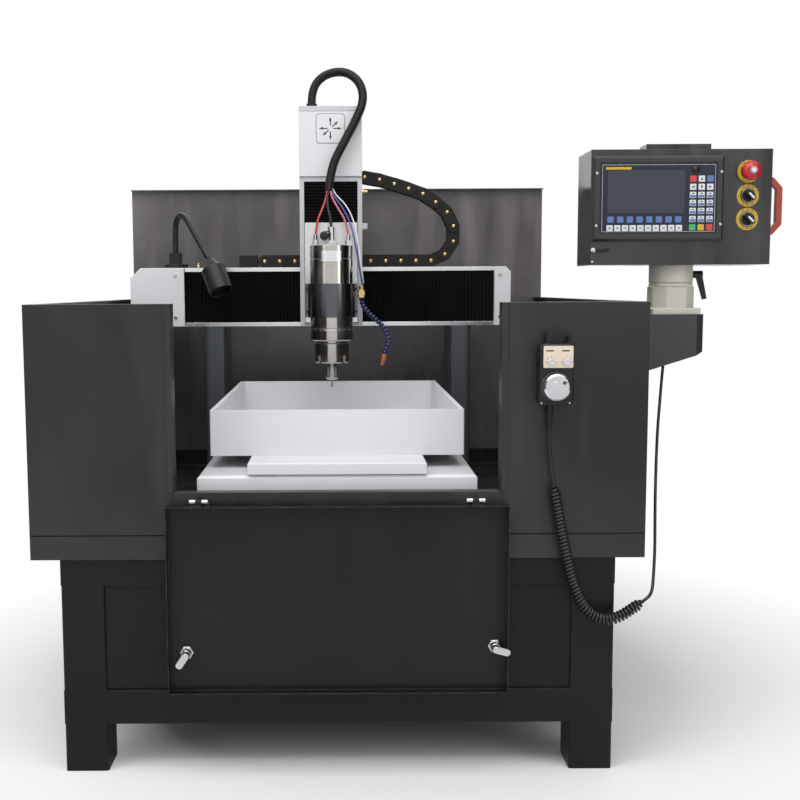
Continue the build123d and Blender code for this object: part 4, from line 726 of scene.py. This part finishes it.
# %% Bezel screws and socket cover
UNIT_Y, PANEL_Y = 176.0, 185.0
screws = [bolt("screw", (x, UNIT_Y, z), 3.0, 2.0)
          for x, z in ((513.2, 1140), (513.2, 1038), (758, 1142), (758, 1040))]
fitted(joined("bezel_screws", screws), "console", "chrome")
socket_profile = [(7.5, 0), (7.5, 2.5), (6.8, 3.1), (3.4, 3.1), (3.2, 3.6)]
fitted(turned("socket_cover", (707.4, FILM_FACE, 1146.7), socket_profile),
       "console", "black_plastic")
print("bezel screws", len(screws))

# %% Rings behind the switches, and the small lock
SWITCH_X, STOP_Z, KNOB_ZS = 814.0, 1143.0, (1096.0, 1050.0)
RING_THICK, RING_MIDDLE = 1.2, 18.6
rings = [collar("ring", (SWITCH_X, PANEL_Y, z), 15.0, 22.0, RING_THICK) for z in (STOP_Z, *KNOB_ZS)]
fitted(joined("legend_rings", rings), "console", "yellow")
dashes = [plate("dash", round_place(SWITCH_X, PANEL_Y - RING_THICK, z, RING_MIDDLE, degrees), 4.2, 1.5,
                PRINT_THICK, 0.3, 0.04, lean=degrees - 90)
          for z in (STOP_Z, *KNOB_ZS) for degrees in (60, 90, 120, 240, 270, 300)]
fitted(joined("legend_dashes", dashes), "console", "ink")
fitted(joined("switch_bezels", [collar("bezel", (SWITCH_X, PANEL_Y, z), 12.3, 13.9, 4.0) for z in KNOB_ZS]),
       "console", "steel")
lock_barrel = turned("barrel", (510, PANEL_Y, 990), [(5, 0), (5, 1.6), (4.4, 2.2), (1.4, 2.2)])
edge_screw = turned("edge_screw", (509, PANEL_Y, 967), [(2.6, 0), (2.6, 0.9), (1.6, 1.4)])
fitted(joined("console_lock", [lock_barrel, edge_screw]), "console", "chrome")
fitted(plate("console_lock_tag", (528, PANEL_Y, 990), 27, 5.5, 2.4, 1.5, 0.5, lean=4),
       "console", "black_plastic")
print("rings", len(rings), "dashes", len(dashes))

# %% Discs on the stop button, and the knobs' marks
stop_face = millimetres(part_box("estop_button"))[0, 1]
fitted(turned("stop_disc", (SWITCH_X, stop_face + 0.35, STOP_Z), [(7.5, 0), (7.5, 0.35), (7.0, 0.6)]),
       "stop_button", "grey_ink")
fitted(turned("stop_disc_middle", (SWITCH_X, stop_face + 0.3, STOP_Z), [(4.4, 0), (4.4, 0.8), (4.0, 0.9)]),
       "stop_button", "mark")
for body, z in zip(("selector_upper", "selector_lower"), KNOB_ZS):
    knob_face = millimetres(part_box(body))[0, 1]
    fitted(plate(body + "_mark", (SWITCH_X + 1.2, knob_face, z - 1.2), 15, 3.6, 0.35, 1.2, 0.1, lean=-45),
           body, "mark")
print("stop button's face", round(stop_face, 1), "knobs' face", round(knob_face, 1))

# %% [markdown]
# ## The hand-held unit
# It is a small moulded box hung on the side cover, with a beige panel, two short dials and a turned wheel
# with a finger dimple. Ring marks go round the dials and the wheel; they are plain lines.

# %% Panel and its marks, and the wheel's scale
HAND_Y, HAND_PANEL = -34.3, 0.7
HAND_FACE, SCALE_Y = HAND_Y - HAND_PANEL, HAND_Y - 1.9
WHEEL_X, WHEEL_Z, WHEEL_TICKS = 397, 738.5, 48
fitted(plate("handset_panel", (401.2, HAND_Y, 792.5), 54, 40, HAND_PANEL, 2.5, 0.2),
       "stand", "beige_panel")
ticks = [plate("tick", round_place(x, HAND_FACE, 783.4, 9.0, degrees), 3.0, 0.9, PRINT_THICK, 0.3, 0.04,
               lean=degrees) for x in (388.0, 416.3) for degrees in (0, 45, 90, 135, 180)]
ticks += [plate("bar", (x, HAND_FACE, 803.5), 14, 2.4, PRINT_THICK, 0.5, 0.04) for x in (386.0, 414.3)]
fitted(joined("handset_marks", ticks), "stand", "ink")
wheel_ticks = []
for degrees in [360 / WHEEL_TICKS * k for k in range(WHEEL_TICKS)]:
    length = 1.28 if degrees % 30 else 2.08
    wheel_ticks.append(plate("tick", round_place(WHEEL_X, SCALE_Y, WHEEL_Z, 25.6, degrees), length, 0.5,
                             PRINT_THICK, 0.2, 0.04, lean=degrees))
fitted(joined("wheel_scale", wheel_ticks), "stand", "mark")
print("marks", len(ticks), "ticks round the wheel", len(wheel_ticks))

# %% The wheel's dimple, the strain relief's ribs and two screws
wheel_face = millimetres(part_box("hand_wheel"))[0, 1]
dimple = (409.5, wheel_face, 747)
fitted(collar("wheel_dimple", dimple, 3.8, 5.2, 0.5, edge=0.2), "hand_wheel", "wheel")
fitted(turned("dimple_floor", dimple, [(4.4, -0.2), (4.4, 0.15), (4.2, 0.2)], sides=24),
       "hand_wheel", "dark_steel")
RELIEF_X, RELIEF_Y, RELIEF_TOP, RIB_STEP = 390, -17.15, 700, 5.4
relief_ribs = [collar("rib", (RELIEF_X, RELIEF_Y, RELIEF_TOP - RIB_STEP * k), 2.6, 6.6 - 0.3 * k, 2.4, TOP,
                      24, 0.5) for k in range(8)]
fitted(joined("relief_ribs", relief_ribs), "stand", "black_plastic")
screws = [bolt("screw", (WHEEL_X + side, HAND_Y, 708.6), 2.2, 1.0) for side in (-25.5, 25.5)]
fitted(joined("handset_screws", screws), "stand", "steel")
print("handset fitted, wheel face", round(wheel_face, 1))

# %% [markdown]
# ## Pleated covers
# The beam and the head are closed by pleated cloth that folds up as they move. A pleat is a zigzag carried
# along its fold line, so each cover is a grid: the zigzag along the travel, straight across it.


# %% A pleated cover in a box
def pleated(name, node, along, pitch, depth):
    """Zigzag depth = depth |2 frac(s / pitch) - 1| over the travel s; a flat back closes the cover."""
    low, high = np.array(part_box(node), float)
    other = 2 if along == 0 else 0
    count = int(round((high[along] - low[along]) / pitch)) * 2
    travel = np.linspace(low[along], high[along], count + 1)
    fold = np.where(np.arange(count + 1) % 2, 0.0, depth)
    front = np.zeros((count + 1, 2, 3))
    front[:, :, along] = travel[:, None]
    front[:, :, 1] = (low[1] + fold)[:, None]
    front[:, 0, other], front[:, 1, other] = low[other], high[other]
    back = front[:, ::-1].copy()
    back[:, :, 1] = high[1]
    cover = surface(name, np.concatenate([front, back], axis=1), smooth=False)
    cover.data.materials.append(look["bellows"])
    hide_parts(node)
    return cover, low, high


PLEAT, FOLD = 0.009, 0.005
cover, low, high = pleated("beam_cover_left", "x_bellows_left", 0, PLEAT, FOLD)
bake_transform(cover)
cover, low, high = pleated("beam_cover_right", "x_bellows_right", 0, PLEAT, FOLD)
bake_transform(cover)
cover, low, high = pleated("head_cover", "z_bellows", 2, 0.0075, 0.0045)
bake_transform(cover)
print("pleated covers at", [round(v, 3) for v in low], [round(v, 3) for v in high])

# %% [markdown]
# ## The conduit over the head
# A ribbed conduit leaves a gland on the head, arches over and ends in front of the spindle. Its ribs are a
# ripple in the radius along the smooth route.

# %% Ribbed conduit
conduit_points = [(-59.7, 730, 1368), (-59.7, 730, 1402), (-30, 720, 1435), (21, 700, 1440), (58, 678, 1410),
                  (67, 658, 1362), (44, 650, 1310), (14, 648, 1256), (-13, 644, 1204), (-19, 637, 1148)]
conduit_line = even(smooth_route(conduit_points), 1500)
RIB_PITCH, RIB_DEPTH, CONDUIT_RADIUS = 0.0031, 0.0007, 0.0105
rib = 0.5 + 0.5 * np.cos(2 * np.pi * distances(conduit_line) / RIB_PITCH)
conduit = tube("ribbed_conduit", conduit_line, CONDUIT_RADIUS - RIB_DEPTH * rib ** 2, hint=(0, 1, 0.05),
               sides=24)
conduit.data.materials.append(look["conduit"])
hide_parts("conduit")
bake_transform(conduit)
print("conduit length", round(float(distances(conduit_line)[-1]), 3))

# %% [markdown]
# ## Hoses and cables at the spindle
# From the conduit's end a red and a pink water hose go to the two side fittings, a black cable to the
# connector, and thin coolant lines to the brass valve. They are short and ride with the spindle.

# %% Spindle hoses
hose_routes = {
    "water_hose_red": ("red_tube", 2.6, [(-22, 634, 1160), (-23, 630, 1136), (-34, 618, 1104),
                                         (-47, 602, 1074), (-49.8, 597, 1042)]),
    "power_cable": ("black_plastic", 3.2, [(-19, 634, 1160), (-22, 628, 1132), (-21, 614, 1105),
                                           (-14, 602, 1083), (-13, 597, 1060)]),
    "water_hose_pink": ("pink_tube", 2.6, [(-16, 634, 1160), (-14, 630, 1138), (2, 616, 1108),
                                           (22, 602, 1076), (27.4, 597, 1042)]),
    "coolant_line_blue": ("blue_tube", 2.1, [(-14, 636, 1160), (-11, 632, 1140), (12, 616, 1112),
                                             (34, 592, 1068), (44, 572, 1018), (53, 566, 962),
                                             (60, 570, 926)]),
    "coolant_line_pale": ("mark", 1.6, [(-11, 638, 1160), (-6, 636, 1142), (24, 620, 1114), (44, 596, 1066),
                                        (52, 574, 1010), (58, 566, 960), (62, 573, 928)]),
}
for name, (colour, thick, route) in hose_routes.items():
    line = even(smooth_route(route), 60)
    fitted(tube(name, line, thick / 1000, hint=(0.3, 1, 0.1), sides=12), "spindle_slide", colour)
print("hoses", len(hose_routes))

# %% [markdown]
# ## Fittings of the spindle
# Four bolts pull the clamp shut, a rubber cap hangs beside the connector, the coolant nozzle ends in an
# orange cone, and the name plate on the barrel is bare metal bent to the barrel's curve.

# %% Clamp bolts, dust cap and its cord
SPINDLE_X, SPINDLE_Y = -13, 597
bolts = [bolt("bolt", (SPINDLE_X + side, 592, z), 4.6, 5.0) for side in (-56, 56) for z in (916, 863)]
fitted(joined("clamp_bolts", bolts), "spindle_slide", "black_iron")
fitted(turned("dust_cap", (-29, 566, 1040), [(3, -9), (10.5, -8), (10.5, -1.2), (9.6, 0), (3, 0)]),
       "spindle_slide", "black_plastic")
cap_cord = even(smooth_route([(-29, 570, 1040), (-26, 575, 1050), (-20, 584, 1052), (-14, 588, 1044)]), 24)
fitted(tube("dust_cap_cord", cap_cord, 0.0011, sides=8), "spindle_slide", "black_plastic")
print("clamp bolts", len(bolts))

# %% The nozzle's cone, drawn over the nozzle along its own leaning axis
NOZZLE_LEAN = 0.25
slope = math.hypot(NOZZLE_LEAN, 1)
level, drop = 1 / slope, NOZZLE_LEAN / slope
ALONG_NOZZLE = np.array([(level, 0, -drop), (0, 1, 0), (-drop, 0, -level)])
cone = [(4.2, 1.0), (5.9, 1.5), (5.75, 5), (3.5, 28.2), (2.0, 28.6)]
fitted(turned("nozzle_tip", (113, 604, 762), cone, ALONG_NOZZLE), "spindle_slide", "orange")
print("nozzle leans", round(math.degrees(math.atan(NOZZLE_LEAN)), 1), "degrees")

# %% Bare name plate, bent to the barrel's curve
BARREL, BELOW, ABOVE = 50.0, 0.3, 0.35
PLATE_LOW, PLATE_HIGH, PLATE_STEPS = 980.0, 1004.0, 24
around = np.radians(np.linspace(-118, -62, PLATE_STEPS))[:, None]
reach = np.array([BARREL - BELOW, BARREL + ABOVE, BARREL + ABOVE, BARREL - BELOW])[None, :]
height = np.array([PLATE_LOW, PLATE_LOW, PLATE_HIGH, PLATE_HIGH])[None, :]
name_plate = np.stack([SPINDLE_X + reach * np.cos(around), SPINDLE_Y + reach * np.sin(around),
                       np.broadcast_to(height, (PLATE_STEPS, 4))], axis=-1)
fitted(surface("bare_name_plate", metres(name_plate), smooth=False), "spindle_slide", "aluminium")
print("name plate", PLATE_HIGH - PLATE_LOW, "high")

# %% [markdown]
# ## The drag chain
# The lower run lies on the beam and the upper run turns back over it. Every joint turns on a brass pin that
# shows as a small dome.

# %% Chain joints from the links' headings
PITCH, CHAIN_X, CHAIN_FACE, CHAIN_Z = 38.4, -184, 790.4, 986.8
HEADINGS = np.radians([0] * 11 + [24.5, 56, 90, 115, 139, 147, 160, 162, 164, 170])
LOWER_JOINTS = 10
joints = np.c_[CHAIN_X + np.r_[0, np.cumsum(PITCH * np.cos(HEADINGS))],
               CHAIN_Z + np.r_[0, np.cumsum(PITCH * np.sin(HEADINGS))]]


def chain_pins(name, places):
    """A brass dome at each place: its radius falls as its height grows."""
    dome = [(4.6, -1.5), (4.6, 0.5), (3.6, 1.1), (1.8, 1.5)]
    return joined(name, [turned("pin", (x, CHAIN_FACE, z), dome, sides=16) for x, z in places])


fitted(chain_pins("chain_pins_lower", joints[:LOWER_JOINTS]), "stand", "brass")
upper = chain_pins("chain_pins_upper", joints[LOWER_JOINTS:])
upper.data.materials.append(look["brass"])
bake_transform(upper)
print("chain ends at", joints[-1].round(1))

# %% The upper links: a welded copy of the CAD piece
links = placed("chain_links_upper", nodes["chain_upper"].data.copy())
weld = links.modifiers.new("weld", "WELD")
weld.merge_threshold = 0.00001
bpy.context.view_layer.update()
welded = bpy.data.meshes.new_from_object(links.evaluated_get(bpy.context.evaluated_depsgraph_get()))
links.modifiers.clear()
links.data = welded
links.data.polygons.foreach_set("use_smooth", np.zeros(len(welded.polygons), bool))
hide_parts("chain_upper")
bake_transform(links)
print("upper links' points", len(welded.vertices))

# %% [markdown]
# ## The head's motor cover
# The cover ends in a shallow folded lid and carries a plate with the jog directions. The lid's face is a thin
# plate laid on the cover's front, and each of the six arrows is a triangle and a bar on the direction plate.

# %% The motor cover's lid, a shallow folded cap
cover_low, cover_high = millimetres(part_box("z_motor_cover"))
LID = 13.0
lid_middle = ((cover_low[0] + cover_high[0]) / 2, cover_low[1], cover_high[2] - LID / 2)
fitted(plate("cover_lid", lid_middle, cover_high[0] - cover_low[0] - 1, LID - 1, 0.5, 1, 0.3),
       "head", "cover_grey")
print("cover from", cover_low.round(1), "to", cover_high.round(1))

# %% Direction plate with six plain arrows
PLATE_X, PLATE_Y, PLATE_Z = -14.0, 668.0, 1298.9
ARROW_Y = PLATE_Y - 0.75
fitted(plate("direction_rim", (PLATE_X, PLATE_Y, PLATE_Z), 70, 71, 0.5, 8, 0.15),
       "head", "grey_ink")
fitted(plate("direction_plate", (PLATE_X, PLATE_Y - 0.5, PLATE_Z), 67, 68, 0.25, 7, 0.1),
       "head", "white_paint")
arrow_parts = []
for degrees in (0, 42, 90, 180, 222, 270):
    reach = 24 if degrees % 90 else 26
    tip, middle = [round_place(PLATE_X, ARROW_Y, PLATE_Z, out, degrees) for out in (reach - 4, reach - 13)]
    arrow_parts.append(pointer("arrow_head", tip, 5.2, degrees))
    arrow_parts.append(plate("arrow_shaft", middle, 12, 2.6, PRINT_THICK, 0.2, 0.04, lean=degrees))
fitted(joined("direction_arrows", arrow_parts), "head", "ink")
print("arrow parts", len(arrow_parts))

# %% [markdown]
# ## Screws, a clip and two brass points
# Screws hold the beam's end caps. The head has a brass oil point and a white cable clip on its side, and a
# brass peg stands on the beam. All are turned pieces or plates, each set on the face that carries it.

# %% Screws, clips and pegs
cap_screws = [bolt("screw", (x, 772, z), 4.2, 2.4) for x in (-409, 411) for z in (951, 846)]
fitted(joined("end_cap_screws", cap_screws), "stand", "steel")
head_right = millimetres(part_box("z_body"))[1, 0]
oil_profile = [(5, 0), (5, 6), (3, 8), (3, 13), (1.5, 15)]
fitted(turned("oil_point", (head_right, 700, 1152), oil_profile, RIGHT, 6, False), "head", "brass")
fitted(plate("cable_clip", (head_right, 700, 1068), 18, 15, 13, 3, 1.2, RIGHT),
       "head", "white_key")
peg_profile = [(4, 0), (4, 5), (3, 7), (3, 11), (1.5, 12.5)]
fitted(turned("beam_peg", (-353, 800, 971), peg_profile, TOP, 6, False), "stand", "brass")
print("cap screws", len(cap_screws), "head's right side", round(head_right, 1))

# %% [markdown]
# ## Painted shadow in the gap between the tray and the covers
# The covers stand in the tray's folded lip, and the gap between them lies in shade as a dark line all round.
# It is too fine for the sheet metal's own shape, so a hair-thin dark strip is laid along it on the front and
# both sides as a painted shadow.

# %% Painted gap shadow: dark strips along the joint
COVER_HALF, OPENING_HALF, COVER_DEPTH, JOINT_Z, GAP_SHADOW_HEIGHT = 575.0, 304.5, 1111.0, 460.0, 2.2
front_middle, front_width = (COVER_HALF + OPENING_HALF) / 2, COVER_HALF - OPENING_HALF - 1
# Each strip is painted shadow: a dark colour laid where the gap between cover and tray lies in shade.
gap_shadow_strips = [plate("joint", (side * front_middle, 0, JOINT_Z), front_width, GAP_SHADOW_HEIGHT, 0.2, 0.5, 0.05)
               for side in (-1, 1)]
gap_shadow_strips += [plate("joint", (side * COVER_HALF, COVER_DEPTH / 2, JOINT_Z), COVER_DEPTH - 2, GAP_SHADOW_HEIGHT, 0.2,
                      0.5, 0.05, facing) for side, facing in ((-1, LEFT), (1, RIGHT))]
fitted(joined("tray_gap_shadow_strips", gap_shadow_strips), "stand", "bellows")
print("joint lines", len(gap_shadow_strips))

# %% [markdown]
# ## The door's locks
# Each cam lock turns in a bright barrel that a hexagon nut holds against the door. Both are rings round the
# lock's shaft, so they leave it free to turn.

# %% Door lock barrels, each a sleeve round the lock's shaft
DOOR_FACE, LOCKS = -7.0, ((-284, 238), (294, 248))
barrels = [collar("barrel", (x, DOOR_FACE, z), 6.2, 9.5, 19.5, edge=0.8) for x, z in LOCKS]
barrels += [collar("nut", (x, DOOR_FACE, z), 9.5, 13.0, 3.2, sides=6, edge=0.6) for x, z in LOCKS]
fitted(joined("door_lock_barrels", barrels), "door", "chrome")
print("barrels and nuts", len(barrels))

# %% [markdown]
# ## Light, floor and a white surround
# Broad soft lamps above the front, behind the machine and to both sides light it as a workshop's roof does.
# The floor is pale and takes the shadow. Far from the machine it turns to the same white as the surround,
# which only the camera and reflections see, so the white adds no light.


# %% Lamps
def soft_lamp(name, place, target, size, power):
    """A rectangular area lamp aimed from its place at a target."""
    data = bpy.data.lights.new(name, "AREA")
    data.shape = "RECTANGLE"
    data.size, data.size_y = size
    data.energy = power
    lamp = placed(name, data)
    aim = Vector(target) - Vector(place)
    lamp.rotation_euler = aim.to_track_quat("-Z", "Y").to_euler()
    lamp.location = place


soft_lamp("roof_lamp", (-0.3, -1.6, 3.6), (-0.1, 0, 0.7), (3.4, 2.4), 76)
soft_lamp("left_lamp", (-3.2, -2.2, 2.0), (-0.1, 0, 0.7), (2.0, 2.4), 37)
soft_lamp("right_lamp", (3.0, -2.6, 1.8), (0, 0, 0.8), (2.0, 2.4), 27)
soft_lamp("back_lamp", (0.5, 3.2, 2.6), (0, 0.2, 0.8), (3.0, 2.0), 32)
print("lamps", len(bpy.data.lights))

# %% [markdown]
# ## Dark flags for the metal
# A polished cylinder shows whatever stands round it. Between white walls it turns into a white tube, so a
# photographer stands a dark card on each side, out of the picture, and the steel gets its dark flanks. The
# cards here are seen by reflections alone and take no light from anything.

# %% Two flags
FLAG_X, FLAG_YS, FLAG_ZS = 2.0, (-1.9, 0.9), (0.15, 2.3)
flag_black, tree, card = new_material("flag_black")
preset(card, Base_Color=(0.01, 0.01, 0.01, 1), Specular_IOR_Level=0.0)
for side in (-1, 1):
    corners = np.array([[(side * FLAG_X, y, z) for y in FLAG_YS] for z in FLAG_ZS])
    flag = surface("dark_flag", corners, around=False, caps=False)
    flag.data.materials.append(flag_black)
    flag.visible_camera = flag.visible_diffuse = flag.visible_shadow = flag.visible_transmission = False
print("flags at", FLAG_X, "metres to each side")

# %% [markdown]
# ## The surround
# The world is a pale grey to the light that falls on the machine, and plain white to the camera and to
# reflections. The floor is matte, and beyond the machine's shadow it fades to that same white.


# %% World
def chosen(tree, factor, first, second, output):
    """Shader first where the factor is 0 and second where it is 1, linked to the tree's output."""
    node = tree.nodes.new("ShaderNodeMixShader")
    for socket, value in zip(node.inputs, (factor, first, second)):
        tree.links.new(value, socket)
    tree.links.new(node.outputs["Shader"], tree.nodes[output].inputs["Surface"])


LIGHT_GREY, WORLD_LEVEL, WHITE = (0.62, 0.63, 0.65, 1), 0.62, (1, 1, 1, 1)
world = bpy.data.worlds.new("surround")
bpy.context.scene.world = world
world.use_nodes = True
tree = world.node_tree
lit = tree.nodes["Background"]
preset(lit, Color=LIGHT_GREY, Strength=WORLD_LEVEL)
seen = tree.nodes.new("ShaderNodeBackground")
preset(seen, Color=WHITE)
rays = tree.nodes.new("ShaderNodeLightPath").outputs
reflected = maths(tree, "MAXIMUM", rays["Is Glossy Ray"], rays["Is Transmission Ray"])
chosen(tree, maths(tree, "MAXIMUM", rays["Is Camera Ray"], reflected), lit.outputs["Background"],
       seen.outputs["Background"], "World Output")
print("world level", WORLD_LEVEL)

# %% Floor
FADE_FROM, FADE_TO, FLOOR_Z, FLOOR_SIDES = 0.6, 1.35, -0.0004, 48
radius = np.array([0.02, 0.5, 1.2, 2.5, 9.0])[:, None]
angle = np.linspace(0, 2 * np.pi, FLOOR_SIDES, endpoint=False)[None, :]
level = np.full((len(radius), FLOOR_SIDES), FLOOR_Z)
rings = np.stack([radius * np.cos(angle), radius * np.sin(angle), level], axis=-1)
floor = surface("pale_floor", rings, caps=False)
floor_paint, tree, matte = new_material("pale_floor")
preset(matte, Base_Color=(0.93, 0.93, 0.93, 1), Roughness=0.9, Specular_IOR_Level=0.1)
clear = tree.nodes.new("ShaderNodeEmission")
preset(clear, Color=WHITE)
place = tree.nodes.new("ShaderNodeTexCoord")
reach = tree.nodes.new("ShaderNodeVectorMath")
reach.operation = "LENGTH"
tree.links.new(place.outputs["Object"], reach.inputs[0])
faded = ranged(tree, reach.outputs["Value"], FADE_FROM, FADE_TO)
rays = tree.nodes.new("ShaderNodeLightPath").outputs
chosen(tree, maths(tree, "MULTIPLY", faded, rays["Is Camera Ray"]), matte.outputs["BSDF"],
       clear.outputs["Emission"], "Material Output")
floor.data.materials.append(floor_paint)
bpy.context.scene.view_settings.view_transform = "Standard"
print("floor fades from", FADE_FROM, "to", FADE_TO, "metres")
